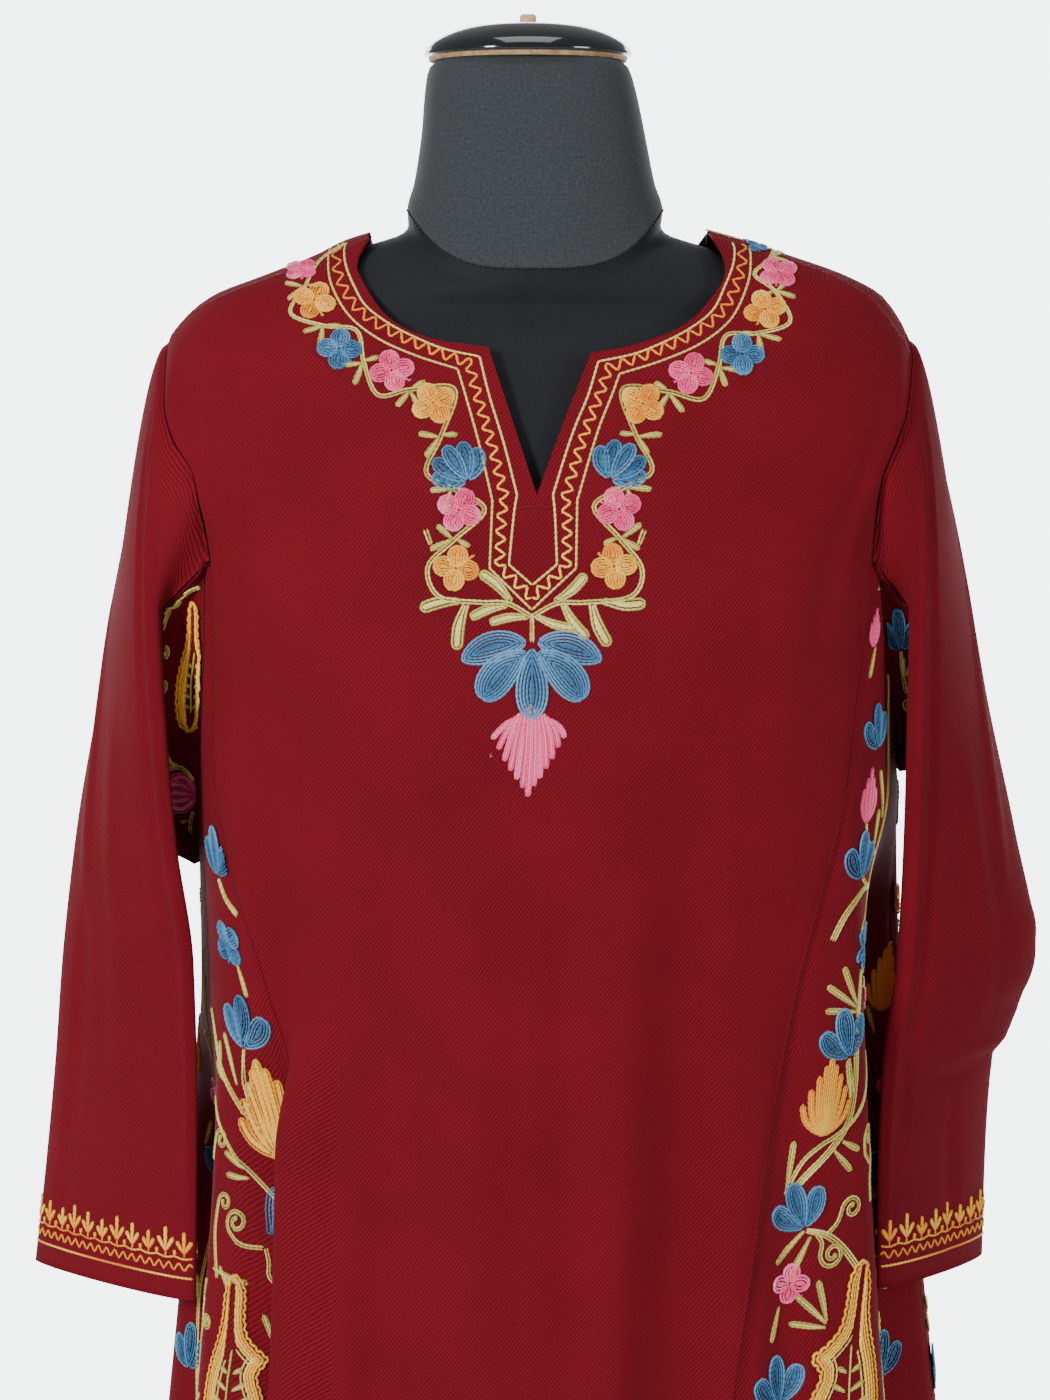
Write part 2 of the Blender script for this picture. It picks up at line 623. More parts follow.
def shell(name, points, normals, weave, seams, replaces):
    """A sheet of cloth as a closed shell. Its outer side is given; seams dip where pieces meet."""
    dip = np.exp(-(from_edge(points, *seams) / SEAM_DIP_WIDTH) ** 2)
    points = points - normals * (dip * SEAM_DIP)[..., None]
    rows, columns = points.shape[:2]
    outer = points.reshape(-1, 3)
    inner = (points - normals * CLOTH).reshape(-1, 3)
    side = np.cross(points[1, 0] - points[0, 0], points[0, 1] - points[0, 0])
    flip = float(np.dot(side, normals[0, 0])) < 0
    size = rows * columns
    index = np.arange(size).reshape(rows, columns)
    faces = np.concatenate((
        quads(rows, columns, 0, flip), quads(rows, columns, size, not flip),
        rim_quads(index[:, 0], index[:, 0] + size, flip),
        rim_quads(index[:, -1], index[:, -1] + size, not flip),
        rim_quads(index[0], index[0] + size, not flip),
        rim_quads(index[-1], index[-1] + size, flip)))
    piece = new_mesh(name, np.concatenate((outer, inner)), faces.tolist(), [wool])
    add_vectors(piece, "weave", np.tile(weave.reshape(-1, 3), (2, 1)))
    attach(piece, "root")
    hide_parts(replaces)
    return piece


def flat_weave(s, t):
    """The weave's coordinates: across and up the cloth, in millimetres."""
    s, t = np.broadcast_arrays(s, t)
    return np.stack((s, t, np.zeros_like(s)), -1)


# ---- materials
def node_material(name, colour, roughness, **sockets):
    material = bpy.data.materials.new(name)
    material.use_nodes = True
    shader = material.node_tree.nodes["Principled BSDF"]
    shader.inputs["Base Color"].default_value = (*colour, 1)
    shader.inputs["Roughness"].default_value = roughness
    for socket, value in sockets.items():
        shader.inputs[socket.replace("_", " ")].default_value = value
    return material, material.node_tree, shader


def node(tree, kind, **values):
    made = tree.nodes.new(kind)
    for name, value in values.items():
        if name.startswith("in_"):
            made.inputs[name[3:]].default_value = value
        else:
            setattr(made, name, value)
    return made


def link(tree, source, target):
    tree.links.new(source, target)


def maths(tree, operation, first, second=None, third=None, clamp=False):
    made = tree.nodes.new("ShaderNodeMath")
    made.operation = operation
    made.use_clamp = clamp
    for i, value in enumerate((first, second, third)):
        if value is None:
            continue
        if isinstance(value, (int, float)):
            made.inputs[i].default_value = value
        else:
            link(tree, value, made.inputs[i])
    return made.outputs[0]


def ramp(tree, factor, *stops):
    made = tree.nodes.new("ShaderNodeValToRGB")
    elements = made.color_ramp.elements
    while len(elements) < len(stops):
        elements.new(0.5)
    for element, (place, colour) in zip(elements, stops):
        element.position = place
        element.color = (*colour, 1) if len(colour) == 3 else colour
    link(tree, factor, made.inputs[0])
    return made.outputs[0]


def bump(tree, shader, height, distance, strength=1.0):
    made = node(tree, "ShaderNodeBump", in_Strength=strength, in_Distance=distance)
    link(tree, height, made.inputs["Height"])
    link(tree, made.outputs[0], shader.inputs["Normal"])


def noise(tree, where, scale, detail, **values):
    made = node(tree, "ShaderNodeTexNoise", in_Scale=scale, in_Detail=detail, **values)
    link(tree, where, made.inputs["Vector"])
    return made.outputs["Fac"]


def weave_axes(tree):
    """The weave's coordinates, together and apart."""
    weave = node(tree, "ShaderNodeAttribute", attribute_name="weave").outputs["Vector"]
    split = node(tree, "ShaderNodeSeparateXYZ")
    link(tree, weave, split.inputs[0])
    return weave, split.outputs[0], split.outputs[1]


def wool_twill(name, dark, light):
    """Worsted twill: diagonal ribs in the weave's own coordinates, slubs and a soft bloom."""
    material, tree, shader = node_material(
        name, light, 0.85, Sheen_Weight=0.05, Sheen_Roughness=0.4, Specular_IOR_Level=0.12,
        Sheen_Tint=(1.0, 0.35, 0.38, 1))
    weave, s, t = weave_axes(tree)
    shift = maths(tree, "MULTIPLY", noise(tree, weave, 0.09, 3.0), 2.2)
    along_rib = maths(tree, "ADD", maths(tree, "MULTIPLY", s, TWILL_TURN[0]),
                      maths(tree, "MULTIPLY", t, TWILL_TURN[1]))
    along_rib = maths(tree, "ADD", along_rib, shift)
    rib = maths(tree, "SINE", maths(tree, "MULTIPLY", along_rib, 2 * math.pi / TWILL_PITCH))
    rib = maths(tree, "MULTIPLY_ADD", rib, 0.5, 0.5)
    thread = noise(tree, weave, 0.9, 4.0, in_Roughness=0.65)
    broad = noise(tree, weave, 0.016, 3.0)
    height = maths(tree, "ADD", maths(tree, "MULTIPLY", rib, 0.62),
                   maths(tree, "MULTIPLY", thread, 0.75))
    tone = maths(tree, "ADD", maths(tree, "MULTIPLY", height, 0.68),
                 maths(tree, "MULTIPLY", broad, 0.26))
    link(tree, ramp(tree, tone, (0.3, dark), (0.95, light)), shader.inputs["Base Color"])
    bump(tree, shader, height, 0.00045, 0.75)
    return material


def plain_noise(name, dark, light, roughness, scale, depth, **sockets):
    """A plain surface whose tone and height vary a little."""
    material, tree, shader = node_material(name, light, roughness, **sockets)
    grain = noise(tree, node(tree, "ShaderNodeTexCoord").outputs["Object"], scale, 4.0)
    link(tree, ramp(tree, grain, (0.3, dark), (0.7, light)), shader.inputs["Base Color"])
    bump(tree, shader, grain, depth)
    return material


def ribbed_fabric(name, dark, light):
    """A knitted cover: fine upright ribs in the weave's coordinates, flecked."""
    material, tree, shader = node_material(
        name, light, 0.85, Sheen_Weight=0.08, Sheen_Roughness=0.5, Specular_IOR_Level=0.15)
    weave, s, t = weave_axes(tree)
    rib = maths(tree, "SINE", maths(tree, "MULTIPLY", s, 2 * math.pi / KNIT_PITCH))
    loops = maths(tree, "SINE", maths(tree, "MULTIPLY", t, 2 * math.pi / KNIT_PITCH))
    height = maths(tree, "ADD", maths(tree, "MULTIPLY", rib, 0.12),
                   maths(tree, "MULTIPLY", loops, 0.06))
    height = maths(tree, "ADD", height, noise(tree, weave, 0.6, 4.0))
    link(tree, ramp(tree, height, (0.15, dark), (0.95, light)), shader.inputs["Base Color"])
    bump(tree, shader, height, 0.0002, 0.4)
    return material


wool = wool_twill("maroon_wool_twill", WOOL_DARK, WOOL_LIGHT)
cover = plain_noise("form_jersey", (0.0055, 0.006, 0.008), (0.0095, 0.0105, 0.0135), 0.7, 900,
                    0.0001, Sheen_Weight=0.04, Specular_IOR_Level=0.2)
knit = ribbed_fabric("neck_knit", (0.020, 0.0225, 0.0255), (0.052, 0.058, 0.064))
floor_paint = plain_noise("floor_paint", (0.80, 0.82, 0.84), (0.84, 0.86, 0.88), 0.9, 2, 0.0)
lacquer = plain_noise("black_lacquer", (0.004, 0.004, 0.005), (0.008, 0.008, 0.009), 0.12, 30,
                      0.00005, Coat_Weight=0.6, Coat_Roughness=0.05)
plywood = plain_noise("plywood_edge", (0.30, 0.17, 0.08), (0.62, 0.42, 0.24), 0.7, 260, 0.0003)
peg_wood = plain_noise("peg_wood", (0.55, 0.36, 0.17), (0.72, 0.52, 0.30), 0.6, 180, 0.0002)
steel = plain_noise("pole_steel", (0.42, 0.43, 0.45), (0.52, 0.53, 0.55), 0.32, 40, 0.00003,
                    Metallic=0.9)
enamel = plain_noise("base_enamel", (0.012, 0.012, 0.013), (0.022, 0.022, 0.024), 0.4, 25, 0.0001)
backdrop_paper = plain_noise("backdrop_paper", (0.84, 0.865, 0.885), (0.86, 0.885, 0.905), 0.95, 1,
                             0.0, Emission_Color=COOL_WHITE,
                             Emission_Strength=BACKDROP_GLOW)


# ---- the garment
front_a, front_z = front_sheet()
front_panel = shell("front_panel_cloth", trimmed(body(front_a, front_z)),
                    body_normals(front_a, front_z), flat_weave(arc(front_a, front_z), front_z),
                    SIDE_SEAMS, "front_panel")
back_a, back_z = back_sheet()
back_panel = shell("back_panel_cloth", trimmed(body(back_a, back_z)),
                   body_normals(back_a, back_z), flat_weave(arc(back_a, back_z), back_z),
                   SIDE_SEAMS, "back_panel")

gores = {}
for side in ("left", "right"):
    for face in ("front", "back"):
        share, z = np.meshgrid(np.linspace(0, 1, 34), spaced(GORE_TIP_Z, HEM_Z, 6))
        a = gore_angle(face, side, share, z)
        gores[face, side] = shell(
            f"{face}_gore_{side}_cloth", trimmed(body(a, z)), body_normals(a, z),
            flat_weave(arc(a, z) + GORE_GRAIN * z, z), SIDE_SEAMS, f"{face}_gore_{side}")

sleeves, gussets = {}, {}
for side in ("left", "right"):
    points = sleeve_sheet(side)
    normals = grid_normals(points)
    outward = (normals[:, points.shape[1] // 2] * np.array((SIGN[side], 0, 0))).sum(-1).mean()
    normals = normals * np.sign(outward)
    s = np.linspace(0, SLEEVE_ROUND, points.shape[1])[None] + 0 * points[..., 2]
    sleeves[side] = shell(f"sleeve_{side}_cloth", trimmed(points), normals,
                          flat_weave(s, points[..., 2]), TOP_SEAM, f"sleeve_{side}")
    layers = []
    for face in ("front", "back"):
        share, drop = np.meshgrid(np.linspace(0, 1, 16), np.linspace(0, 1, 42))
        foot = GUSSET_FOOT_Z[side] + GUSSET_SLANT[side] * share
        layers.append(gusset_point(side, face, share, mix(GORE_TIP_Z, foot, drop)))
    points = np.concatenate((layers[0][:-1], layers[1][::-1]))
    normals = grid_normals(points)
    normals = normals * np.sign(-normals[: len(layers[0]), :, 1].mean())
    s = np.linspace(0, GUSSET_ACROSS, points.shape[1])[None] + 0 * points[..., 2]
    gussets[side] = shell(f"gusset_{side}_cloth", trimmed(points, top=False), normals,
                          flat_weave(s, points[..., 2]), SIDE_SEAMS, f"gusset_{side}")


# ---- needlework: placing
class Patch:
    """Maps (millimetres along the cloth, height) to a surface, with its outward normals."""

    ROWS, COLUMNS = 70, 140     # of the grid that the surface is measured by
    MARGIN = 0.8                # needlework stays this far from the sides

    def __init__(self, surface, low, high, z_low, z_high, sign):
        self.surface, self.sign = surface, sign
        self.z = np.linspace(z_low, z_high, self.ROWS)
        share = np.linspace(low, high, self.COLUMNS)
        grid = surface(share[None] + 0 * self.z[:, None], self.z[:, None] + 0 * share[None])
        step = np.linalg.norm(np.diff(grid, axis=1), axis=-1)
        length = np.concatenate((np.zeros((len(self.z), 1)), np.cumsum(step, axis=1)), axis=1)
        self.width = length[:, -1]
        marks = np.arange(int(self.width.max()) + 2)
        self.table = np.array([np.interp(marks, row, share) for row in length])
        self.reach = (high - low) / 400  # half the step that slopes are measured over

    def inside(self, uv):
        z = uv[:, 1]
        wide = np.interp(z, self.z, self.width)
        across_it = (uv[:, 0] > self.MARGIN) & (uv[:, 0] < wide - self.MARGIN)
        return across_it & (z > self.z[0]) & (z < self.z[-1])

    def __call__(self, uv):
        u = np.clip(uv[:, 0], 0, self.table.shape[1] - 1.001)
        j = np.clip((uv[:, 1] - self.z[0]) / (self.z[1] - self.z[0]), 0, len(self.z) - 1.001)
        i0, j0 = u.astype(int), j.astype(int)
        fu, fj = u - i0, j - j0
        low = mix(self.table[j0, i0], self.table[j0, i0 + 1], fu)
        high = mix(self.table[j0 + 1, i0], self.table[j0 + 1, i0 + 1], fu)
        share, z = mix(low, high, fj), uv[:, 1]
        e = self.reach
        around = self.surface(share + e, z) - self.surface(share - e, z)
        up = self.surface(share, z + 1) - self.surface(share, z - 1)
        normal = np.cross(around, up) * self.sign
        normal /= np.maximum(np.linalg.norm(normal, axis=-1, keepdims=True), 1e-9)
        return self.surface(share, z), normal


class FrontPatch:
    """The same for the front and the shoulders, placed by x and z."""

    def inside(self, uv):
        return np.ones(len(uv), bool)

    def __call__(self, uv):
        a = angle_at(uv[:, 0], uv[:, 1])
        return body(a, uv[:, 1]), body_normals(a, uv[:, 1])


STITCHES = {}


def sew(patch, colour, path, tone=0.5, width=THREAD, closed=False, group="", lift=0.0):
    """One row of chain stitch along a path; tone is one number or one for each point."""
    path = np.asarray(path, float)
    tone = np.broadcast_to(np.asarray(tone, float), (len(path),))
    if closed:
        path, tone = np.vstack((path, path[:1])), np.append(tone, tone[0])
    there = distances(path)
    if there[-1] < SHORTEST_ROW:
        return
    count = max(3, int(round(there[-1] / STITCH_STEP)) + 1)
    marks = np.linspace(0, there[-1], count)
    uv = resampled(path, there, marks)
    shade = np.interp(marks, there, tone)
    keep = patch.inside(uv)
    edges = np.flatnonzero(np.diff(np.concatenate(([0], keep.astype(int), [0]))))
    for start, end in zip(edges[::2], edges[1::2]):
        if end - start < 3:
            continue
        points, normals = patch(uv[start:end])
        STITCHES.setdefault((group, colour), []).append(
            (points + normals * lift, normals, marks[start:end], shade[start:end], width))


def level(u, z):
    """A path along a patch at a height, or at one height for each of its points."""
    return np.stack(np.broadcast_arrays(u, z), -1)


def path_normals(path):
    """Unit steps to the left of a flat path."""
    way = np.gradient(path, axis=0)
    way /= np.maximum(np.linalg.norm(way, axis=1, keepdims=True), 1e-9)
    return np.stack((-way[:, 1], way[:, 0]), -1)


def heading(degrees):
    """A unit step, with 0 up and 90 to the right."""
    return np.array((math.sin(math.radians(degrees)), math.cos(math.radians(degrees))))


def lobe(patch, colour, spine, wide, shape=0.5, sharp=0.5, tone=(0.35, 0.7), group="", lift=0.0):
    """A petal or leaf filled with rings of chain stitch, from its edge to its spine.

    shape moves its widest place towards the far end, sharp runs from 0.4 (round) to 1 (pointed),
    and sharp 0 gives a finger with a round end.
    """
    spine = curve(spine, 8)
    there = distances(spine)
    length = there[-1]
    s = np.linspace(0, length, max(16, int(length * 2)))
    line = resampled(spine, there, s)
    side = path_normals(line)
    if sharp:
        t = (s / length) ** (math.log(0.5) / math.log(shape))
        half = wide / 2 * np.clip(4 * t * (1 - t), 0, 1) ** sharp
    else:
        end = np.clip((s - length + wide / 2) / (wide / 2), 0, 1)
        half = wide / 2 * np.sqrt(1 - end ** 2) * mix(0.62, 1, ease(s / length / shape))
    rings = max(1, int(round(wide / 2 / ROW)))
    for k in range(rings):
        inner = half - (k + 0.5) * wide / 2 / rings
        use = inner > 0
        if use.sum() < 3:
            continue
        shade = mix(tone[0], tone[1], k / max(1, rings - 1))
        ring = np.vstack((line[use] + side[use] * inner[use, None],
                          (line[use] - side[use] * inner[use, None])[::-1]))
        glow = shade + 0.14 * np.sin(np.linspace(0, 2 * math.pi, len(ring)) + spine[0, 1])
        sew(patch, colour, ring, glow, closed=True, group=group, lift=lift)
    if wide / 2 / rings > 0.8:
        sew(patch, colour, line[2:-2], tone[1], group=group, lift=lift)


def side_by_side(patch, colour, path, wide, tone, swell=1.0, flicker=0.0, group=""):
    """Parallel rows along a path; swell is their spread at each of its points."""
    rows = max(1, int(round(wide / ROW)))
    side = path_normals(path)
    for k in range(rows):
        off = (k - (rows - 1) / 2) * wide / rows
        shade = mix(tone[0], tone[1], k / max(1, rows - 1)) + flicker
        sew(patch, colour, path + side * off * swell, shade, group=group)


def stroke(patch, colour, path, wide, tone=(0.4, 0.7), taper=0.6, group=""):
    """A stem of parallel rows that thins towards its start."""
    path = curve(path, 8)
    t = np.linspace(0, 1, len(path))
    swell = mix(taper, 1, np.clip(t * 2.2, 0, 1))[:, None]
    side_by_side(patch, colour, path, wide, tone, swell, 0.15 * np.sin(9 * t), group)


def leaf(patch, colour, base, way, length, wide, bend=0.0, group="", tone=(0.3, 0.75)):
    """A finger of rows with a round end."""
    base = np.asarray(base, float)
    ahead, aside = heading(way), heading(way + 90)
    spine = [base, base + ahead * length * 0.5 + aside * bend * 0.6, base + ahead * length + aside * bend]
    lobe(patch, colour, spine, wide, 0.6, 0, tone, group, 0.15)


def blossom(patch, colour, centre, size, angle=45, petals=4, group=""):
    """Round petals of worked rings about a centre, with a small stalk."""
    centre = np.asarray(centre, float)
    radius = size * (0.24 if petals == 4 else 0.2)
    foot = centre + heading(angle + 135) * size * 0.46
    sew(patch, colour, (centre, centre + heading(angle + 135) * size * 0.3, foot, foot + (1.2, 0.6)),
        0.42, group=group, lift=0.4)
    for k in range(petals):
        way = heading(angle + 360 / petals * k)
        middle = centre + way * size * 0.27
        shift = 0.16 * math.sin(2.4 * k + centre[0])
        lobe(patch, colour, (middle - way * radius, middle, middle + way * radius), radius * 2, 0.5, 0.5,
             (0.55 + shift, 0.42 + shift), group, 0.45 + 0.3 * (k % 2))


def fan(patch, colour, base, way, size, spread=52, petals=4, group="", tone=(0.22, 0.68)):
    """Long petals that open from one place, as a tulip seen from the side."""
    base = np.asarray(base, float)
    for k in range(petals):
        share = k / (petals - 1) * 2 - 1
        ahead = heading(way + spread * share)
        length = size * (1 - 0.16 * share * share)
        middle = base + heading(way + spread * share * 1.25) * length * 0.52
        spine = (base + ahead * 0.6, middle, base + ahead * length)
        shift = 0.1 * math.sin(3 * k + base[1])
        lobe(patch, colour, spine, size * 0.42, 0.64, 0.45, (tone[1] + shift, tone[0] + shift), group,
             1.0 - 0.6 * abs(share))


def flame_leaf(patch, colour, base, way, size, group=""):
    """A leaf of upright fingers, longest in the middle, that ends in a spike."""
    base = np.asarray(base, float)
    ahead, aside = heading(way), heading(way + 90)
    for share in (-1, 1, -0.74, 0.74, -0.46, 0.46, -0.2, 0.2, 0):
        length = size * (1 - 0.36 * abs(share) - 0.16 * abs(share) ** 3)
        out = aside * share * size * 0.33
        spine = (base + out * 0.05, base + ahead * length * 0.4 + out * 0.8,
                 base + ahead * length * (1 - 0.1 * abs(share)) + out * 1.06)
        lobe(patch, colour, spine, size * 0.112, 0.3, 0, (0.3 + 0.3 * (1 - abs(share)), 0.7), group,
             0.6 - 0.4 * abs(share))


def stepped_bud(patch, colour, base, way, size, group="", broad=1.0):
    """Close upright rows of different lengths, the longest in the middle."""
    base = np.asarray(base, float)
    ahead, aside = heading(way), heading(way + 90)
    for share in (-1, 1, -0.5, 0.5, 0):
        length = size * (1 - 0.36 * abs(share))
        out = aside * share * size * 0.2 * broad
        spine = (base + out * 0.2, base + out * 1.1 + ahead * length * 0.45,
                 base + out * 0.9 + ahead * length)
        lobe(patch, colour, spine, size * 0.15 * broad, 0.3, 0, (0.3, 0.7 + 0.2 * share), group,
             0.3 - 0.25 * abs(share))


def curl(patch, colour, path, radius=7.5, turns=1.3, hand=1, wide=2.8, group="", tone=(0.3, 0.6)):
    """A stem whose end winds into a spiral, to the left with hand 1 and to the right with -1."""
    path = curve(path, 8)
    ahead = path[-1] - path[-2]
    ahead /= np.linalg.norm(ahead)
    centre = path[-1] + np.array((-ahead[1], ahead[0])) * hand * radius
    first = math.atan2(*(path[-1] - centre)[::-1])
    t = np.linspace(0, 1, 36)[1:]
    angle = first + hand * 2 * math.pi * turns * t
    reach = radius * (1 - 0.74 * t ** 0.85)
    spiral = centre + np.stack((np.cos(angle), np.sin(angle)), -1) * reach[:, None]
    side_by_side(patch, colour, np.vstack((path, spiral)), wide, tone, group=group)
    end = spiral[-1]
    lobe(patch, colour, (end - (0, 1.9), end, end + (0, 1.9)), 3.8, 0.5, 0.5, tone, group, 0.3)


# A paisley's left and right outlines, as shares of its height: across and up.
PAISLEY_LEFT = ((0.02, 0.0), (-0.12, 0.06), (-0.19, 0.2), (-0.2, 0.36), (-0.16, 0.49), (-0.22, 0.575),
                (-0.15, 0.63), (-0.085, 0.7), (-0.066, 0.8), (-0.064, 0.92), (-0.03, 0.99), (0.0, 1.0))
PAISLEY_RIGHT = ((0.02, 0.0), (0.14, 0.05), (0.2, 0.2), (0.2, 0.38), (0.16, 0.54), (0.11, 0.66),
                 (0.075, 0.78), (0.064, 0.9), (0.03, 0.99), (0.0, 1.0))


def paisley(patch, foot, height, lean=1.0, group=""):
    """A tall drop with a ruffled band round it, an inner line, and seeds on a stem."""
    foot = np.asarray(foot, float)
    left = foot + curve(PAISLEY_LEFT, 12) * (lean * height, height)
    right = foot + curve(PAISLEY_RIGHT, 12) * (lean * height, height)
    rim = np.vstack((left, right[::-1][1:]))
    inward = path_normals(rim) * -lean
    step = distances(rim)
    room = np.abs(rim[:, 0] - foot[0] - 0.02 * height * lean)
    for k in range(5):
        depth = np.minimum(k * 1.8 + 0.6, np.maximum(room * 0.8 - 0.4, 0.3))
        ruffle = 1.7 * np.abs(np.sin(step * math.pi / 4.6)) * (1.0 if k == 0 else 0.35)
        tone = 0.35 + 0.3 * np.sin(step / 17 + k) ** 2 + 0.1 * k
        sew(patch, "orange", rim + inward * (depth - ruffle)[:, None], tone, 2.1, group=group,
            lift=0.4 + 0.12 * (4 - k))
    low = room > 10.5
    sew(patch, "olive", (rim + inward * 10.2)[low & (step < step[-1] / 2)], 0.6, group=group)
    sew(patch, "olive", (rim + inward * 10.2)[low & (step > step[-1] / 2)], 0.6, group=group)
    stem_foot, stem_top = foot + (0.02 * height * lean, 10), foot + (0.0, height * 0.62)
    sew(patch, "olive", (stem_foot, (stem_foot + stem_top) / 2 + (1.5, 0), stem_top), 0.5, group=group)
    for k in range(5):
        start = mix(stem_foot, stem_top, 0.08 + 0.17 * k)
        reach = height * (0.1, 0.125, 0.12, 0.09, 0.06)[k]
        for hand in (-1, 1):
            leaf(patch, "olive", start + (hand * 1.4, 0), hand * 62, reach, 3.4, 0, group)


def fork(patch, base, way, size=11, wide=4.6, spread=26, leaves=2, group=""):
    """Blunt leaves that part from one place on a stem."""
    for k in range(leaves):
        share = 0 if leaves == 1 else k / (leaves - 1) * 2 - 1
        length = size * (1 - 0.14 * abs(share) * (k % 2))
        leaf(patch, "olive", base, way + spread * share, length, wide, bend=1.4 * share, group=group)


# ---- needlework: the neck
FRONT = FrontPatch()


class Tilted:
    """A patch whose motifs are drawn about a centre in the cloth's own measure, on a slope."""

    def __init__(self, patch, centre):
        self.patch, self.centre = patch, np.asarray(centre, float)
        normal = patch(self.centre[None])[1][0]
        level = math.hypot(normal[0], normal[1])
        self.scale = np.array((abs(normal[1]) / level, level))

    def inside(self, uv):
        return np.ones(len(uv), bool)

    def __call__(self, uv):
        return self.patch(self.centre + (uv - self.centre) * self.scale)


# The lines round the neck, left half, x and z, with their corners.
INNER_LINE = ((-98, 1392), (-99, 1388), (-97.5, 1379), (-92.5, 1367.5), (-86, 1357), (-73.5, 1347.5),
              (-59, 1340), (-44, 1334), (-25.5, 1330), (-20.5, 1310), (-12.5, 1284), (-5.8, 1258),
              (-7.4, 1248), (-10, 1222), (2.2, 1211.4))
INNER_CORNERS = (0, 8, 11, 13, 14)
OUTER_LINE = ((-107, 1390), (-107.5, 1384), (-105, 1369), (-95, 1352), (-79, 1339.5), (-59, 1330.5),
              (-37, 1323.5), (-32, 1307), (-25.5, 1284), (-18.6, 1255), (-20, 1220), (2, 1198.6))
OUTER_CORNERS = (0, 6, 9, 10, 11)
ZIGZAG_LINE = ((-103, 1391), (-103.2, 1386), (-101.2, 1374), (-94, 1360), (-83, 1349.5), (-66, 1340),
               (-48, 1332.5), (-31, 1326.5), (-26, 1308), (-19, 1284), (-12.2, 1256), (-13.8, 1246),
               (-15, 1221), (2, 1205))
ZIGZAG_CORNERS = (0, 7, 10, 12, 13)
MIRROR_AXIS = ((1205, 1340), (2.0, 6.0))
NECK_DROP = 2.6             # how much lower the right half of the neck line lies


def mirrored(points):
    """A line of the neck's left half, on the right half."""
    points = np.asarray(points, float)
    axis = np.interp(points[:, 1], *MIRROR_AXIS)
    drop = NECK_DROP * ease((points[:, 1] - 1292) / 24) * ease((1372 - points[:, 1]) / 20)
    return np.stack((2 * axis - points[:, 0], points[:, 1] - drop), -1)


def zigzag(patch, path, height, pitch, tones, colour="orange", group=""):
    """A sewn zigzag along a path."""
    there = distances(path)
    count = int(there[-1] / pitch * 2)
    marks = np.linspace(0, there[-1], count * 6 + 1)
    line = resampled(path, there, marks)
    wave = np.arcsin(0.9 * np.sin(math.pi * np.linspace(0, count, len(marks)))) / 1.12
    line = line + path_normals(line) * (height * wave)[:, None]
    shade = mix(tones[0], tones[1], np.linspace(0, 1, len(marks)) ** 1.5)
    sew(patch, colour, line, shade, 2.1, group=group)


for half in (lambda points: np.asarray(points, float), mirrored):
    sew(FRONT, "olive", half(curve(INNER_LINE, 12, INNER_CORNERS)), 0.72, 1.9, group="neck")
    sew(FRONT, "olive", half(curve(OUTER_LINE, 12, OUTER_CORNERS)), 0.62, 1.9, group="neck")
    zigzag(FRONT, half(curve(ZIGZAG_LINE, 12, ZIGZAG_CORNERS)), 2.6, 7.8, (0.2, 0.95), group="neck")
# The line of the facing's stitches, just under the slit.
sew(FRONT, "shadow", ((-5.5, 1251), (4.6, 1252.5), (13, 1251)), 0.5, 0.8, group="neck")

# Flowers down each side of the neck: kind, colour, x, z.
NECK_FLOWERS = {
    -1: (("blossom", "pink", -122, 1377), ("blossom", "orange", -113.4, 1360),
         ("blossom", "blue", -99.5, 1334), ("blossom", "pink", -71.5, 1322.5),
         ("blossom", "orange", -49.5, 1305.5), ("fan", "blue", -39, 1273),
         ("blossom", "pink", -35.8, 1250), ("blossom", "orange", -37.5, 1220)),
    1: (("blossom", "blue", 124, 1390.5), ("blossom", "pink", 134, 1375), ("blossom", "orange", 126, 1355),
        ("blossom", "blue", 113, 1331), ("blossom", "pink", 85.6, 1321),
        ("blossom", "orange", 60, 1305), ("fan", "blue", 50.5, 1274),
        ("blossom", "pink", 47.3, 1250.5), ("blossom", "orange", 44.6, 1221)),
}
FLOWER = 23.5
for hand, flowers in NECK_FLOWERS.items():
    centres = np.array([flower[2:] for flower in flowers], float)
    way = np.gradient(centres, axis=0)
    way /= np.linalg.norm(way, axis=1, keepdims=True)
    outside = np.stack((way[:, 1], -way[:, 0]), -1) * -hand
    vine = [centres[0] - outside[0] * 6 + (hand * -18, 12)]
    for i, (kind, colour, x, z) in enumerate(flowers):
        here = Tilted(FRONT, (x, z))
        if kind == "blossom":
            blossom(here, colour, (x, z), FLOWER, 38 + 17 * i * hand, group="neck")
        else:
            fan(here, colour, (x - hand * 8, z - 9), hand * 33, 23, 46, 5, group="neck")
        away = 14.6 if (i + len(flowers)) % 2 else -13.2
        vine.append(centres[i] + outside[i] * away * (0.84 if i < 1 else 1))
        if i + 1 < len(flowers):
            cross = (centres[i] + centres[i + 1]) / 2 + outside[i] * 1.5
            vine.append(cross)
            there = Tilted(FRONT, cross)
            lean = math.degrees(math.atan2(outside[i][0], outside[i][1]))
            back = hand * (24 if (i + len(flowers)) % 2 else -10)
            fork(there, cross + outside[i] * 1.2, lean + back, 13, 4.4, 27, 2, group="neck")
            fork(there, cross - outside[i] * 1.2, lean + 180 - hand * 32, 8, 4.0, 0, 1, group="neck")
    foot = ((centres[-1][0] + hand * 9, 1205.5), (hand * 28 + 2, 1202.5), (hand * 13 + 2, 1202),
            (1.9, 1195))
    stroke(FRONT, "olive", vine + list(foot), 3.0, group="neck")
    stroke(FRONT, "olive", ((centres[-1][0] + hand * 13, 1232), (centres[-1][0] + hand * 16, 1240)),
           3.4, group="neck")

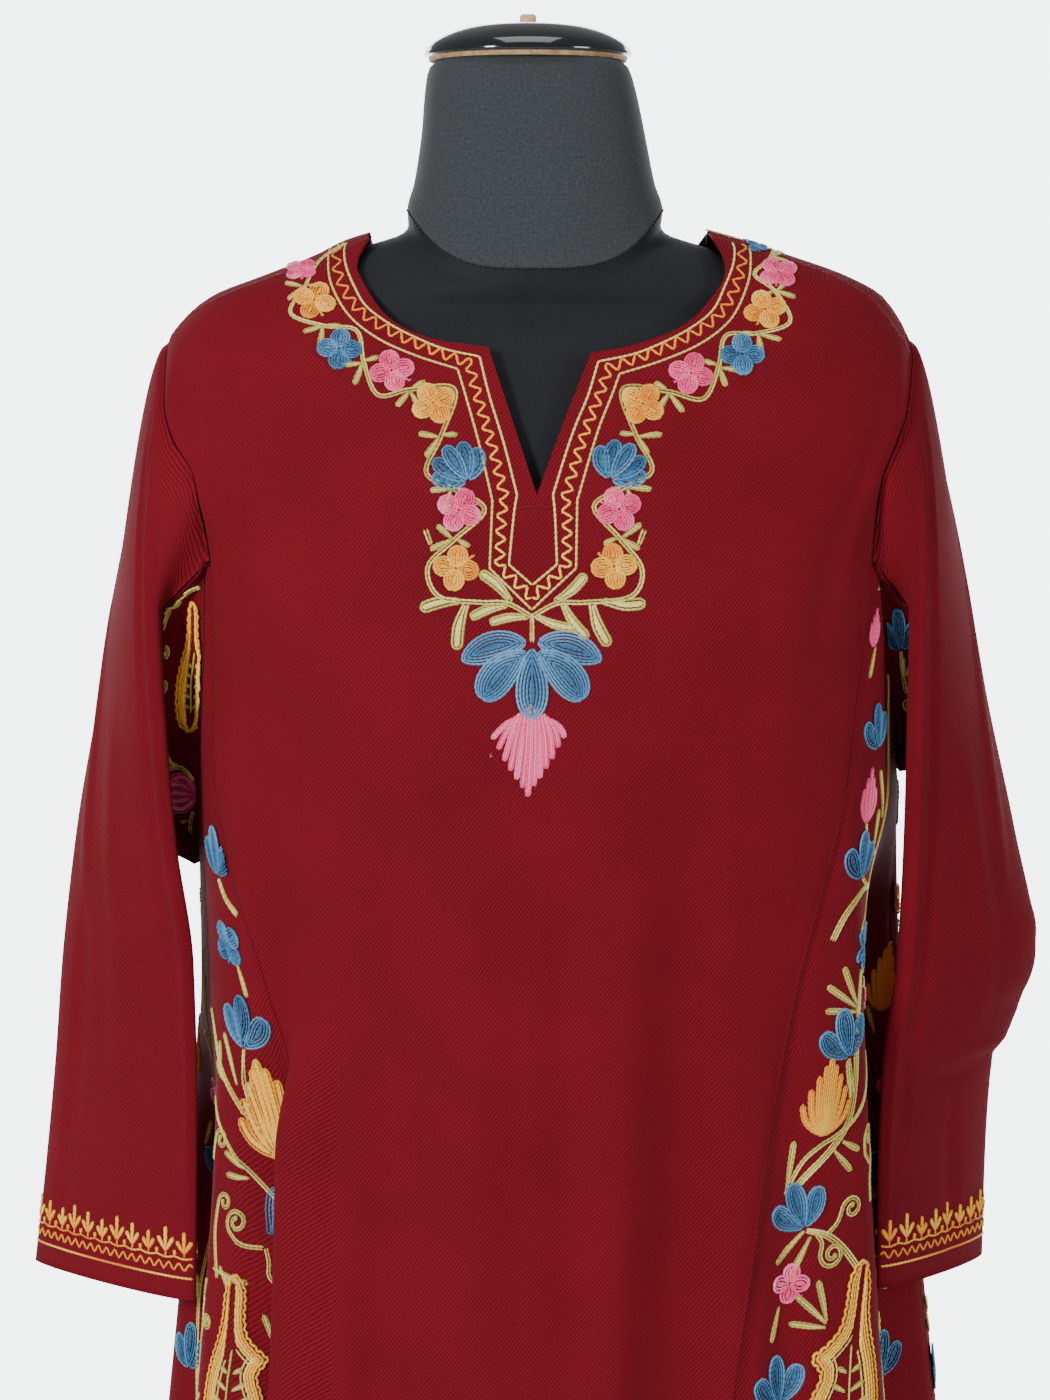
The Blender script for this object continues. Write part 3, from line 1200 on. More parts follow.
# Blunt leaves at the foot of the neck's design: from, to, width.
FOOT_LEAVES = (
    ((-36, 1203), (-56, 1199), 7), ((-32, 1202), (-37, 1178), 7), ((-9, 1203), (-25, 1218), 6),
    ((-11, 1201), (-30, 1194.5), 5.5), ((0, 1195), (-20, 1192), 5),
    ((14, 1203), (30, 1217), 6), ((18, 1202), (31, 1184), 6), ((33, 1202), (42, 1180), 7),
    ((39, 1203), (61, 1202), 7), ((4, 1195.5), (25, 1189), 5))


def bowed(start, end, bow):
    """A spine from start to end that bows to its right by a share of its length."""
    start, end = np.array(start, float), np.array(end, float)
    aside = np.array((end[1] - start[1], start[0] - end[0])) * bow
    return start, (start + end) / 2 + aside, end


for start, end, wide in FOOT_LEAVES:
    lobe(FRONT, "olive", bowed(start, end, 0.06), wide, 0.6, 0, (0.5, 0.85), "neck", 0.2)
stroke(FRONT, "olive", ((1.9, 1197), (2, 1190), (2, 1182)), 2.6, group="neck")

# The palmette: from, to, width, where it is widest, how pointed, how far it lies on the others.
PALMETTE = (
    ((-1, 1182), (-34.5, 1172.5), 16.5, 0.5, 0.62, 0.2), ((5, 1182), (38, 1172.5), 16.5, 0.5, 0.62, 0.2),
    ((-1, 1177), (-24, 1152.5), 19, 0.6, 0.45, 0.5), ((5, 1177), (28.5, 1152.5), 19, 0.6, 0.45, 0.5),
    ((2, 1179), (2, 1142.5), 17.5, 0.62, 0.45, 0.9))
# The pink fan under it: place across, foot.
FAN = ((-18.5, 1131.5), (19.5, 1132), (-15.3, 1126), (16.2, 1127), (-12, 1120), (13, 1121),
       (-8.8, 1115), (9.8, 1116), (-5.5, 1110.5), (6.5, 1111), (-2.4, 1106), (3.4, 1107), (0.3, 1101.5))
for k, (x, foot) in enumerate(FAN):
    top = 1151 - abs(x) * 0.45
    lobe(FRONT, "pink", ((1.5 + x * 0.5, top), (1 + x * 0.82, mix(top, foot, 0.5)), (x - 0.5, foot)),
         4.2, 0.3, 0, (0.45 + 0.25 * math.sin(x), 0.8), "neck", 0.04 * k)
for start, end, wide, shape, sharp, lift in PALMETTE:
    spine = bowed(start, end, 0.07 * np.sign(2 - end[0]))
    lobe(FRONT, "blue", spine, wide, shape, sharp, (0.9, 0.42), "neck", lift)
blossom(FRONT, "pink", (-19.5, 1124), 3.4, group="neck", petals=3)


# ---- needlework: the gores
GORE_PATCH = {
    (face, side): Patch(
        lambda share, z, face=face, side=side: body(gore_angle(face, side, share, z), z),
        0, 1, HEM_Z + PATCH_EDGE, GORE_TIP_Z - PATCH_EDGE, SIGN[side] * (1 if face == "front" else -1))
    for side in ("left", "right") for face in ("front", "back")}

# What is worked on each gore, by distance from the front seam and height.
GORE_WORK = {
    "right": (
        ("dot", "olive", 6, 1207, 0, 3), ("bud", "pink", 9, 1176, -4, 21),
        ("leaf", "olive", 11, 1176, 186, 17), ("tulip", "blue", 25, 1121, -12, 25),
        ("leaf", "olive", 41, 1084, -24, 28), ("bud", "pink", 22, 1083, -3, 29),
        ("leaf", "olive", 37, 1068, -10, 21), ("tulip", "blue", 24, 1053, -6, 26),
        ("tulip", "blue", 41, 1016, 0, 14), ("tulip", "blue", 41, 1018, 182, 13),
        ("leaf", "olive", 40, 986, -36, 26), ("leaf", "olive", 40, 985, -62, 26),
        ("leaf", "olive", 40, 983, -88, 21), ("leaf", "olive", 44, 1002, 38, 15),
        ("leaf", "olive", 46, 995, 68, 13), ("blossom", "pink", 62, 990, 0, 17),
        ("tulip", "blue", 39, 959, -20, 28), ("leaf", "olive", 44, 937, -16, 22),
        ("flame", "orange", 30, 919, -2, 41), ("leaf", "olive", 38, 911, 128, 19),
        ("leaf", "olive", 43, 915, 110, 14), ("leaf", "olive", 15, 890, -4, 27),
        ("tulip", "blue", 29, 870, -26, 27), ("leaf", "olive", 29, 869, 214, 22),
        ("leaf", "olive", 33, 866, 196, 25), ("blossom", "pink", 26, 841, 0, 21),
        ("leaf", "olive", 22, 829, 184, 19), ("leaf", "olive", 50, 820, -24, 24),
        ("leaf", "olive", 50, 819, -54, 25), ("leaf", "olive", 50, 817, -86, 21),
        ("paisley", "", 68, 736, 0.9, 113),
        ("tulip", "blue", 30, 776, -14, 28), ("leaf", "olive", 31, 774, 208, 18),
        ("leaf", "olive", 36, 772, 180, 18), ("blossom", "orange", 152, 830, 12, 20),
        ("leaf", "olive", 132, 808, -14, 20), ("leaf", "olive", 134, 790, 22, 20),
        ("tulip", "blue", 152, 772, 0, 26), ("leaf", "olive", 128, 770, -40, 16),
        ("blossom", "pink", 140, 930, 12, 19), ("tulip", "blue", 144, 878, 0, 25),
        ("flame", "orange", 130, 972, 0, 38), ("leaf", "olive", 126, 960, -30, 18),
        ("leaf", "olive", 100, 938, 20, 22), ("leaf", "olive", 96, 900, -14, 20)),
    "left": (
        ("tulip", "blue", 12, 1053, -6, 27), ("blossom", "blue", 20, 1018, 30, 24),
        ("leaf", "olive", 16, 1008, 186, 18), ("tulip", "blue", 24, 963, -12, 29),
        ("leaf", "olive", 33, 943, 14, 28), ("leaf", "olive", 27, 935, -24, 25),
        ("flame", "orange", 12, 906, 7, 52), ("leaf", "olive", 48, 950, -8, 15),
        ("leaf", "olive", 46, 944, 34, 12), ("leaf", "olive", 30, 899, 62, 18),
        ("leaf", "olive", 28, 894, 84, 16), ("lobe", "blue", 14, 865, -4, 25),
        ("leaf", "olive", 52, 843, -104, 27), ("leaf", "olive", 46, 845, -146, 15),
        ("leaf", "olive", 58, 836, 150, 14), ("paisley", "", 33, 738, 0.86, 103),
        ("leaf", "olive", 6, 800, 24, 24), ("leaf", "olive", 5, 792, -10, 20),
        ("leaf", "olive", 66, 800, 30, 17), ("leaf", "olive", 64, 780, 44, 17),
        ("leaf", "olive", 66, 764, -40, 13), ("blossom", "orange", 84, 832, 12, 17),
        ("tulip", "blue", 108, 776, 0, 26), ("leaf", "olive", 104, 812, 8, 18),
        ("blossom", "pink", 84, 930, 12, 19), ("tulip", "blue", 92, 882, 0, 25),
        ("leaf", "olive", 74, 980, -20, 17), ("leaf", "olive", 78, 950, 30, 17),
        ("flame", "orange", 118, 936, 0, 38), ("leaf", "olive", 106, 900, -30, 16)),
}
# Their stems, by points on the way, and then their width.
GORE_STEMS = {
    "right": (
        (((40, 1160), (42, 1130), (45, 1095), (47, 1070), (46, 1048)), 2.9),
        (((22, 1083), (26, 1074), (35, 1069), (46, 1064)), 2.8),
        (((46, 1048), (37, 1049), (27, 1054)), 2.8),
        (((46, 1048), (30, 1047), (19, 1037), (14, 1022)), 4.4),
        (((47, 1048), (45, 1036), (34, 1022)), 4.4),
        (((41, 1006), (41, 995), (43, 970), (46, 945), (45, 925), (37, 912), (26, 900), (17, 888)), 4.4),
        (((39, 959), (42, 950), (45, 940)), 2.8),
        (((66, 960), (58, 940), (49, 926), (38, 918), (30, 914), (22, 907), (17, 896), (15, 888)), 2.9),
        (((30, 869), (42, 866), (54, 858), (66, 846)), 4.4),
        (((106, 736), (110, 770), (108, 805), (98, 838)), 2.9),
        (((130, 740), (133, 780), (134, 812), (146, 824)), 2.9),
        (((104, 1010), (112, 970), (122, 930), (126, 890), (138, 870)), 2.9),
        (((92, 880), (98, 920), (104, 950)), 2.9)),
    "left": (
        (((14, 1052), (11, 1042), (4, 1034)), 4.4), (((24, 963), (27, 948), (26, 932)), 2.9),
        (((58, 980), (54, 964), (46, 948), (36, 936), (24, 924), (12, 910), (4, 899)), 4.4),
        (((60, 934), (52, 920), (41, 908), (28, 898), (14, 885), (5, 877)), 2.9),
        (((66, 736), (67, 770), (66, 805), (60, 836)), 2.9),
        (((96, 740), (102, 780), (104, 820), (98, 850), (90, 880)), 2.9),
        (((70, 1010), (78, 970), (82, 930), (90, 890)), 2.9)),
}
# Stems that end in a spiral: points on the way, radius, turns, and 1 to wind left or -1 right.
GORE_CURLS = {
    "right": (
        (((36, 867), (40, 862), (40, 856)), 7.6, 1.4, 1),
        (((42, 866), (48, 872), (50, 880)), 6.6, 1.2, -1),
        (((108, 800), (104, 808), (102, 814)), 5.5, 1.2, 1),
        (((109, 780), (114, 790), (116, 798)), 5, 1.2, -1),
        (((70, 900), (62, 906), (60, 914)), 6.5, 1.2, -1), (((72, 880), (70, 894), (74, 906)), 6, 1.2, -1)),
    "left": (
        (((48, 838), (52, 862), (50, 880)), 5.6, 1.0, 1), (((18, 857), (30, 858), (39, 864)), 7.6, 1.4, 1),
        (((17, 857), (15, 850), (15, 844)), 6, 1.2, -1), (((60, 900), (58, 908), (56, 914)), 6, 1.1, 1),
        (((67, 770), (72, 780), (72, 788)), 5, 1.2, -1), (((66, 800), (62, 808), (60, 814)), 4.6, 1.2, 1)),
}


def work(patch, rows, group):
    """Works a table of motifs: kind, colour, place, height, direction, size."""
    for kind, colour, u, z, way, size in rows:
        if kind == "tulip":
            fan(patch, colour, (u, z), way, size, 34, 3, group)
        elif kind == "bud":
            stepped_bud(patch, colour, (u, z), way, size, group)
        elif kind == "petals":
            stepped_bud(patch, colour, (u, z), way, size, group, 1.5)
        elif kind == "blossom":
            blossom(patch, colour, (u, z), size, way, group=group)
        elif kind == "flame":
            flame_leaf(patch, colour, (u, z), way, size, group)
        elif kind == "leaf":
            leaf(patch, colour, (u, z), way, size, 4.8, 1.0, group)
        elif kind == "lobe":
            leaf(patch, colour, (u, z), way, size, 11, 0.5, group, (0.25, 0.6))
        elif kind == "dot":
            blossom(patch, colour, (u, z), size, 0, 3, group=group)
        elif kind == "paisley":
            paisley(patch, (u, z), size, way, group)


def embroider(patch, rows, stems, curls, group):
    """Works a table of motifs with its stems and its curls."""
    work(patch, rows, group)
    for path, wide in stems:
        stroke(patch, "olive", path, wide, group=group)
    for path, radius, turns, winding in curls:
        curl(patch, "olive", path, radius, turns, winding, group=group)


for side in ("left", "right"):
    embroider(GORE_PATCH["front", side], GORE_WORK[side], GORE_STEMS[side], GORE_CURLS[side],
           "gore_" + side)

# The same for the gussets, by distance from the gore and height.
GUSSET_WORK = {
    "left": (("leaf", "olive", 8, 1205, 24, 9), ("leaf", "olive", 27, 1192, -62, 15),
             ("paisley", "", 7, 1128, 0.72, 70), ("leaf", "olive", 16, 1106, 34, 19),
             ("leaf", "olive", 15, 1108, 62, 16), ("petals", "pink", 3, 1092, 88, 27),
             ("leaf", "olive", 8, 1077, 112, 10)),
    "right": (("tulip", "blue", 12, 1172, -6, 24), ("leaf", "olive", 14, 1158, 30, 17),
              ("leaf", "olive", 13, 1156, -4, 13)),
}
GUSSET_STEMS = {
    "left": ((((2, 1207), (10, 1204), (21, 1196), (29, 1180)), 2.9),
             (((4, 1100), (14, 1107), (26, 1104)), 2.9)),
    "right": ((((12, 1172), (13, 1160), (12, 1148)), 2.9),),
}
GUSSET_CURLS = {
    "left": ((((29, 1186), (31, 1178), (31, 1172)), 4.6, 1.3, -1),
             (((30, 1160), (31, 1154)), 4.4, 1.2, -1),
             (((4, 1082), (6, 1076), (6, 1070)), 4.6, 1.2, 1)),
    "right": ((((12, 1150), (16, 1144)), 5, 1.2, -1),),
}
for side in ("left", "right"):
    patch = Patch(lambda share, z, side=side: gusset_point(side, "front", share, z), 0, 1,
                  GUSSET_FOOT_Z[side] + PATCH_EDGE, GORE_TIP_Z - PATCH_EDGE, SIGN[side])
    embroider(patch, GUSSET_WORK[side], GUSSET_STEMS[side], GUSSET_CURLS[side], "gore_" + side)

# The back gores, and the front ones below the frame, repeat a few of these motifs.
REPEAT = (
    ("flame", "orange", 24, 0, 0, 40), ("tulip", "blue", 62, 14, 12, 27),
    ("tulip", "blue", 48, 84, -14, 26), ("blossom", "pink", 20, 66, 20, 22),
    ("leaf", "olive", 52, 56, -36, 20), ("leaf", "olive", 54, 54, 34, 19),
    ("leaf", "olive", 46, 24, -44, 18), ("leaf", "olive", 20, 52, 186, 14),
    ("leaf", "olive", 74, 40, -20, 18), ("blossom", "orange", 78, 86, 30, 20),
    ("leaf", "olive", 78, 74, 200, 16))
# Its two curls: points on the way, and 1 to wind left or -1 right.
REPEAT_CURLS = ((((60, 46), (66, 52), (67, 58)), -1), (((42, 62), (37, 68), (36, 74)), 1))
REPEAT_UP, REPEAT_ACROSS = 112, 98
REPEAT_FOOT_Z = 380
REPEAT_TOP_Z = {"front": 728, "back": 1170}


def repeated(patch, high, group):
    """Fills a gore below a height with columns of the repeat, every other one a little higher."""
    for row in range(int((high - REPEAT_FOOT_Z) / REPEAT_UP)):
        foot = high - REPEAT_UP * (row + 1)
        wide = float(np.interp(foot + 50, patch.z, patch.width))
        for column in range(max(1, int(wide / REPEAT_ACROSS + 0.2))):
            u, z = column * REPEAT_ACROSS + 6 * (row % 2), foot + 20 * (column % 2)
            work(patch, [(kind, colour, u + du, z + dz, way, size)
                         for kind, colour, du, dz, way, size in REPEAT], group)
            stem = [(u + 50 + 12 * math.sin(1.4 * k), z - 6 + 24 * k) for k in range(5)]
            stroke(patch, "olive", stem, 2.9, group=group)
            for path, winding in REPEAT_CURLS:
                path = np.add(path, (u, z)).astype(float)
                curl(patch, "olive", path, 6, 1.2, winding, group=group)


for side in ("left", "right"):
    repeated(GORE_PATCH["front", side], REPEAT_TOP_Z["front"], "gore_foot_" + side)
    repeated(GORE_PATCH["back", side], REPEAT_TOP_Z["back"], "gore_back_" + side)


# ---- needlework: the cuffs
CUFF_ROWS = {"line": 12, "zigzag": 18, "ground": 23.5}  # heights above the cuff's edge
SPRIG_PITCH = 13.2


def sprig(patch, u, z, size, tone, group):
    """A stalk with three leaves."""
    stroke(patch, "orange", ((u, z), (u, z + size * 0.25)), 1.6, (tone, tone), 1, group)
    for way, share in ((-38, 0.62), (38, 0.62), (0, 0.86)):
        base = np.array((u, z + size * 0.2))
        leaf(patch, "orange", base, way, size * share, 2.9, 0.3, group, (tone, tone + 0.2))


for side in ("left", "right"):
    patch = Patch(lambda share, z, side=side: sleeve_section(side, z, share), 2, 358,
                  CUFF_Z[side], CUFF_Z[side] + 70, SIGN[side])
    foot = CUFF_Z[side]
    round_cuff = np.arange(1, patch.width[0] - 1, 1.0)
    group = "cuff_" + side
    sew(patch, "orange", level(round_cuff, foot + CUFF_ROWS["line"]),
        0.5 + 0.3 * np.sin(round_cuff * 0.07), 2.0, group=group)
    zigzag(patch, level(round_cuff, foot + CUFF_ROWS["zigzag"]), 2.0, 7.4, (0.25, 0.55), group=group)
    count = int(patch.width[0] / SPRIG_PITCH)
    pitch = patch.width[0] / count
    swag = foot + CUFF_ROWS["ground"] - 1.2 * np.abs(np.sin(math.pi * round_cuff / pitch))
    sew(patch, "orange", level(round_cuff, swag), 0.4 + 0.3 * np.sin(round_cuff * 0.05), THREAD,
        group=group)
    for k in range(count):
        u, z = (k + 0.5) * pitch, foot + CUFF_ROWS["ground"]
        sprig(patch, u, z - 1, 14 + 2 * math.sin(2.1 * k), 0.35 + 0.3 * math.sin(1.7 * k) ** 2, group)
        leaf(patch, "orange", (u + pitch / 2, z), 0, 3.6, 2.8, 0, group, (0.5, 0.6))

# The hem's line of stitches, in maroon thread. The front's is placed by x.
HEM_LINE = HEM_Z + HEM_STITCHES
sew(FRONT, "shadow", level(np.linspace(-120, 105, 300), HEM_LINE), 0.5, 0.8, group="neck")
for side in ("left", "right"):
    for face, group in (("front", "gore_foot_"), ("back", "gore_back_")):
        patch = GORE_PATCH[face, side]
        round_hem = np.arange(0, patch.width[0], 2.0)
        sew(patch, "shadow", level(round_hem, HEM_LINE), 0.5, 0.8, group=group + side)


# ---- needlework: the threads
def thread_material(name, *stops):
    """Rayon thread: a soft gloss, links that read as a braid, and the tone of each row."""
    material, tree, shader = node_material(
        name, stops[1][1], 0.45, Sheen_Weight=0.12, Sheen_Roughness=0.35, Specular_IOR_Level=0.35)
    tone = node(tree, "ShaderNodeAttribute", attribute_name="tone").outputs["Fac"]
    weave, along_row, across_row = weave_axes(tree)
    slant = maths(tree, "MULTIPLY_ADD", maths(tree, "ABSOLUTE", across_row), 1.2,
                  maths(tree, "MULTIPLY", along_row, 2 * math.pi / LINK))
    links = maths(tree, "MULTIPLY_ADD", maths(tree, "SINE", slant), 0.5, 0.5)
    fibre = noise(tree, weave, 1.6, 3.0)
    shade = maths(tree, "MULTIPLY_ADD", links, 0.16, tone)
    shade = maths(tree, "MULTIPLY_ADD", fibre, 0.24, shade)
    shade = maths(tree, "SUBTRACT", shade, 0.2, clamp=True)
    link(tree, ramp(tree, shade, *stops), shader.inputs["Base Color"])
    bump(tree, shader, links, 0.0003, 0.5)
    return material


# Dark, middle and light tone of each thread.
THREADS = {
    colour: thread_material("thread_" + colour, *zip((0.0, 0.5, 1.0), tones))
    for colour, tones in {
        "olive": ((0.24, 0.18, 0.03), (0.56, 0.48, 0.09), (0.88, 0.80, 0.28)),
        "orange": ((0.70, 0.15, 0.004), (0.90, 0.38, 0.015), (0.98, 0.66, 0.10)),
        "pink": ((0.62, 0.02, 0.11), (0.92, 0.08, 0.25), (1.0, 0.32, 0.48)),
        "blue": ((0.012, 0.05, 0.13), (0.04, 0.16, 0.32), (0.14, 0.34, 0.56)),
        "shadow": ((0.05, 0.002, 0.005), (0.1, 0.004, 0.008), (0.15, 0.006, 0.012)),
    }.items()}


def stitched(name, rows, material):
    """All rows of one colour as one mesh: closed three-sided ribbons with the links of the chain."""
    all_points, faces, all_weave, all_tone, start = [], [], [], [], 0
    for points, normals, marks, shade, width in rows:
        count = len(points)
        way = np.gradient(points, axis=0)
        way /= np.maximum(np.linalg.norm(way, axis=1, keepdims=True), 1e-9)
        side = np.cross(way, normals)
        link_wave = np.arange(count) % 2.0
        at_end = np.isin(np.arange(count), (0, count - 1))
        half = (width / 2 * (0.74 + 0.3 * link_wave) * np.where(at_end, 0.45, 1))[:, None]
        rise = (THREAD_RISE * (0.7 + 0.3 * link_wave) * np.where(at_end, 0.5, 1))[:, None]
        base = points - normals * THREAD_ROOT
        ring = np.stack((base + side * half, points + normals * rise, base - side * half), 1)
        index = start + np.arange(count * 3).reshape(count, 3)
        for a, b in ((0, 1), (1, 2), (2, 0)):
            faces += np.stack((index[:-1, a], index[1:, a], index[1:, b], index[:-1, b]), -1).tolist()
        faces += [index[0].tolist(), index[-1, ::-1].tolist()]
        all_points.append(ring.reshape(-1, 3))
        all_weave.append(flat_weave(np.repeat(marks, 3), np.tile((1.0, 0.0, -1.0), count)))
        all_tone.append(np.repeat(shade, 3))
        start += count * 3
    piece = new_mesh(name, np.concatenate(all_points), faces, [material])
    add_vectors(piece, "weave", np.concatenate(all_weave))
    add_values(piece, "tone", np.concatenate(all_tone))
    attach(piece, "root")
    return piece


needlework = {}
for (group, colour), rows in STITCHES.items():
    needlework.setdefault(group, []).append(
        stitched(f"stitches_{group}_{colour}", rows, THREADS[colour]))


# ---- the dress form
FORM = table(
    "z half front back",
    (700, 158, 88, 98), (740, 168, 94, 106), (800, 166, 92, 106), (880, 150, 84, 90),
    (960, 129, 76, 76), (1020, 124, 78, 74), (1080, 133, 92, 84), (1130, 144, 110, 96),
    (1165, 149, 120, 102), (1200, 154, 116, 105), (1240, 165, 107, 100), (1280, 174, 97, 93),
    (1320, 177, 83, 82))
NECK = table(
    "z half front back lean dip",
    (1330, 56, 54, 44, 3.5, 14), (1382, 65, 62, 50, 3.5, 26), (1411, 69.5, 63, 53, 3.8, 34),
    (1416, 68.5, 61.5, 53, 3.7, 34), (1423, 66, 60, 52, 3.5, 30), (1447, 61.5, 55, 50, 3, 11),
    (1479, 56.5, 51, 49, 1, 0), (1487, 54, 49, 48, 0.5, 0), (1490, 50, 45, 44, 0.5, 0))
FORM_EASE = 4.5             # the form's surface lies this far inside the cloth
SLOPE_EASE = 2.5            # and this much more on the slopes of the shoulders
SHOULDER_X = 176            # half the form's width at its shoulders
COLLAR_Z = 1411             # where the neck's cover starts
CENTRE_SEAM = 0.5           # depth of the seam down the middle of the torso


def soft_max(a, b, k=9.0):
    """The larger of two sizes, with a fillet where they are near each other."""
    h = np.clip(0.5 + 0.5 * (a - b) / k, 0, 1)
    return mix(b, a, h) + k * h * (1 - h)


def form_ring(z, a):
    """One ring of the torso and neck, and its height at each angle."""
    cloth = {name: float(at(BODY, name, z + FORM_EASE)) - FORM_EASE
             for name in ("half_left", "front", "back")}
    slope = (min(SHOULDER_X, cloth["half_left"]), cloth["front"] - SLOPE_EASE,
             cloth["back"] - SLOPE_EASE)
    trunk = [float(at(FORM, name, min(z, 1320))) for name in ("half", "front", "back")]
    half, front, back = (mix(trunk[k], slope[k], float(ease((z - 1290) / 45))) for k in range(3))
    lean = dip = 0.0
    if z > 1330:
        row = {name: float(at(NECK, name, z)) for name in ("half", "front", "back", "lean", "dip")}
        share = float(ease((z - 1340) / (COLLAR_Z - 1340)))
        lean, dip = row["lean"] * share, row["dip"] * share
        if z >= COLLAR_Z:
            half, front, back = row["half"], row["front"], row["back"]
        else:
            half = float(soft_max(half, row["half"]))
            front = float(soft_max(front, row["front"]))
            back = float(soft_max(back, row["back"]))
    deep = np.where(np.abs(a) > 90, back, front)
    low = np.where(along(a) > 0, dip * (1 - np.abs(across(a)) ** 3.5), 0)
    deep = deep - CENTRE_SEAM * np.exp(-(a / 1.4) ** 2) * float(z < COLLAR_Z)
    return np.stack((lean + half * across(a), -deep * along(a), z - low), -1)


def looped(rows, columns):
    """Quads of a tube of rings, and its point numbers with the first column again at the end."""
    index = np.arange(rows * columns).reshape(rows, columns)
    index = np.concatenate((index, index[:, :1]), 1)
    faces = np.stack((index[:-1, :-1], index[:-1, 1:], index[1:, 1:], index[1:, :-1]), -1)
    return faces.reshape(-1, 4).tolist(), index


form_a = np.arange(180) * 2.0 - 180
form_z = np.concatenate((
    np.arange(700, 1320, 8), np.arange(1320, 1410, 2), (1410, 1410.5, 1411, 1411.6, 1412.4),
    np.arange(1414, 1486, 3), (1487, 1488.6, 1489.6, 1490)))
rings = np.array([form_ring(float(z), form_a) for z in form_z])
rows, columns = rings.shape[:2]
form_faces, index = looped(rows, columns)
points = np.concatenate((rings.reshape(-1, 3), [rings[0].mean(0), rings[-1].mean(0)]))
middles = np.full(columns, rows * columns)
form_faces += np.stack((middles, index[0, 1:], index[0, :-1]), -1).tolist()
form_faces += np.stack((middles + 1, index[-1, :-1], index[-1, 1:]), -1).tolist()
form = new_mesh("torso_and_neck", points, form_faces, [cover, knit])
on_neck = np.concatenate((np.repeat(form_z[:-1] >= COLLAR_Z, columns),
                          np.zeros(columns), np.ones(columns)))
form.data.polygons.foreach_set("material_index", on_neck.astype(np.int32))
across_cover = np.concatenate((np.tile(form_a * 1.05, rows), (0, 0)))
add_vectors(form, "weave", flat_weave(across_cover, points[:, 2]))
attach(form, "root")
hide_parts("dress_form")

# The collar's seam: a line of short stitches along its foot, in front.
collar = [form_ring(COLLAR_Z - 0.6, np.array([a, a + 1.7])) for a in np.arange(-86, 87, 3.0)]
dash_points, dash_faces = [], []
for k, (start, end) in enumerate(collar):
    out = np.array((start[0], start[1], 0))
    out = out / np.linalg.norm(out)
    for point in (start, end):
        dash_points += [point + out * 0.7 + (0, 0, 0.5), point + out * 0.7 - (0, 0, 0.5),
                        point - out * 0.6 - (0, 0, 0.5), point - out * 0.6 + (0, 0, 0.5)]
    b = 8 * k
    dash_faces += [(b + i, b + i + 4, b + (i + 1) % 4 + 4, b + (i + 1) % 4) for i in range(4)]
    dash_faces += [(b, b + 1, b + 2, b + 3), (b + 7, b + 6, b + 5, b + 4)]
collar_stitches = new_mesh("collar_stitches", dash_points, dash_faces, [cover], smooth=False)
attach(collar_stitches, "root")


def lathe(name, profile, depth, foot_z, materials, node_name, edge=0):
    """A turned piece; its first edge rows take the second material."""
    steps = 128
    angle = np.linspace(0, 2 * math.pi, steps, endpoint=False)
    radius, height = np.array(profile, float).T
    radius = np.maximum(radius, 0.01)
    points = np.stack((radius[:, None] * np.cos(angle), radius[:, None] * np.sin(angle) * depth,
                       height[:, None] + foot_z + 0 * angle), -1)
    faces = looped(len(profile), steps)[0]
    piece = new_mesh(name, points.reshape(-1, 3), faces, materials)
    piece.data.polygons.foreach_set(
        "material_index", (np.arange(len(faces)) < edge * steps).astype(np.int32))
    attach(piece, "root")
    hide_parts(node_name)
    return piece


# Profiles: radius and height.
CAP_EDGE = ((0, 0), (52.5, 0), (53.6, 0.2), (54.2, 2.4))
CAP_DOME = ((54.6, 2.5), (56.4, 3.2), (56.2, 5.6), (53.4, 9.4), (47, 13.6), (38, 17.2), (28, 19.2),
            (14, 19.75), (0, 19.8))
lathe("cap", list(CAP_EDGE) + curve(CAP_DOME, 6).tolist(), 0.93, 1490.3, [lacquer, plywood],
      "neck_cap", 3)
PEG = ((0, 0), (4.4, 0), (4.5, 0.4), (4.5, 4.2), (4.1, 5.1), (3.4, 5.5), (0, 5.5))
lathe("peg", PEG, 1, 1510.4, [peg_wood], "cap_peg")
POLE = ((0, 0), (37.4, 0), (38, 0.6), (38, 4.4), (37.2, 5.2), (26, 8.2), (20, 12.4), (17.2, 20),
        (16, 30), (16, 685.4), (0, 685.4))
lathe("stand_pole", POLE, 1, 14.3, [steel], "pole")
BASE = ((0, 0), (184, 0), (185, 1), (185, 9.6), (183.8, 12.2), (181, 13.6), (178, 14), (0, 14))
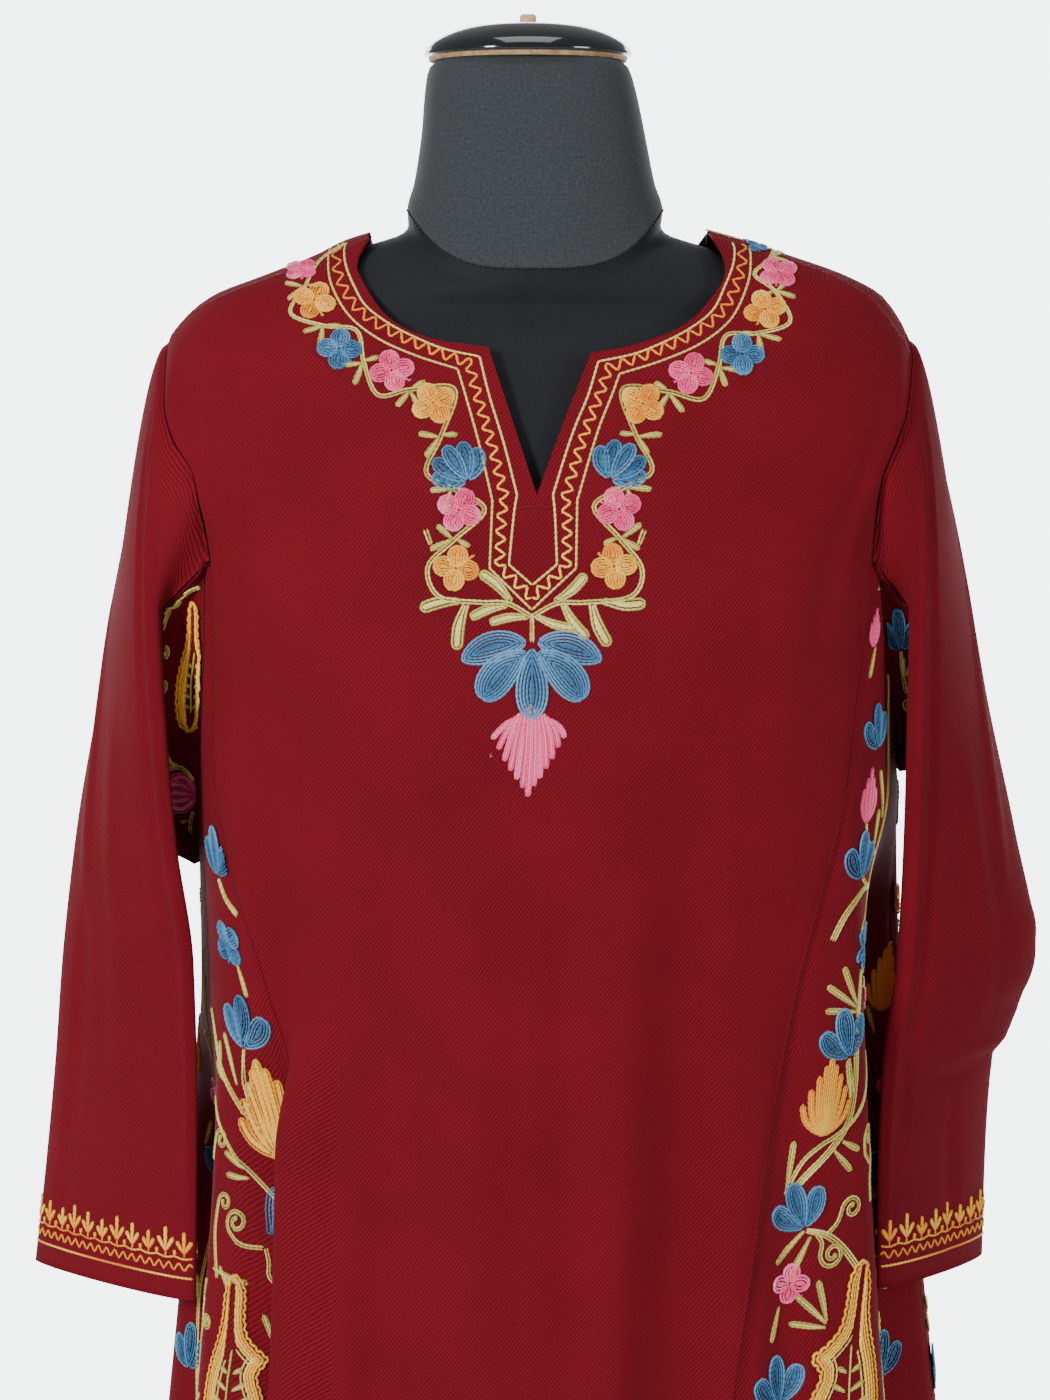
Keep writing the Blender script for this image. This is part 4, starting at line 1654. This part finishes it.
lathe("stand_base", BASE, 1, 0, [enamel], "base")


# ---- sheets
# Width and area of each gore as cut, in metres and square metres.
for (face, side), piece in gores.items():
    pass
for side in ("left", "right"):
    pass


# ---- floor, light and camera
# The backdrop stands far off, so that the object can be seen from behind as well.
FLOOR = ((-9000, -6000, 0), (9000, -6000, 0), (9000, 2900, 0), (-9000, 2900, 0))
BACKDROP = ((-7000, 8500, -4000), (7000, 8500, -4000), (7000, 8500, 5000), (-7000, 8500, 5000))
floor = new_mesh("floor", FLOOR, [(0, 1, 2, 3)], [floor_paint], smooth=False)
backdrop = new_mesh("backdrop", BACKDROP, [(0, 1, 2, 3)], [backdrop_paper], smooth=False)

world = bpy.data.worlds.new("studio")
bpy.context.scene.world = world
world.use_nodes = True
world.node_tree.nodes["Background"].inputs["Color"].default_value = COOL_WHITE
world.node_tree.nodes["Background"].inputs["Strength"].default_value = STUDIO_LIGHT


def area_light(name, place, aim, size, power):
    """A rectangular lamp at a place, aimed at another, in metres."""
    data = bpy.data.lights.new(name, "AREA")
    data.shape = "RECTANGLE"
    data.size, data.size_y = size
    data.energy = power
    lamp = bpy.data.objects.new(name, data)
    lamp.location = place
    way = [aim[i] - place[i] for i in range(3)]
    flat = math.hypot(way[0], way[1])
    lamp.rotation_euler = (math.atan2(flat, -way[2]), 0, math.atan2(-way[0], way[1]))
    bpy.context.scene.collection.objects.link(lamp)


area_light("key_left", (-1.9, -2.3, 1.9), (0, 0, 1.1), (0.5, 0.8), 98)
area_light("fill_right", (2.7, -1.7, 1.7), (0, 0, 1.1), (1.0, 1.2), 46)
area_light("top", (0, -0.4, 3.2), (0, 0, 1.2), (1.2, 1.2), 14)

lens = bpy.data.cameras.new("camera")
lens.sensor_fit = "VERTICAL"
lens.sensor_height = 36
lens.lens = CAMERA_LENS
camera = bpy.data.objects.new("camera", lens)
camera.location = CAMERA_PLACE
camera.rotation_euler = (math.radians(90 - CAMERA_TILT), 0, 0)
bpy.context.scene.collection.objects.link(camera)
bpy.context.scene.camera = camera
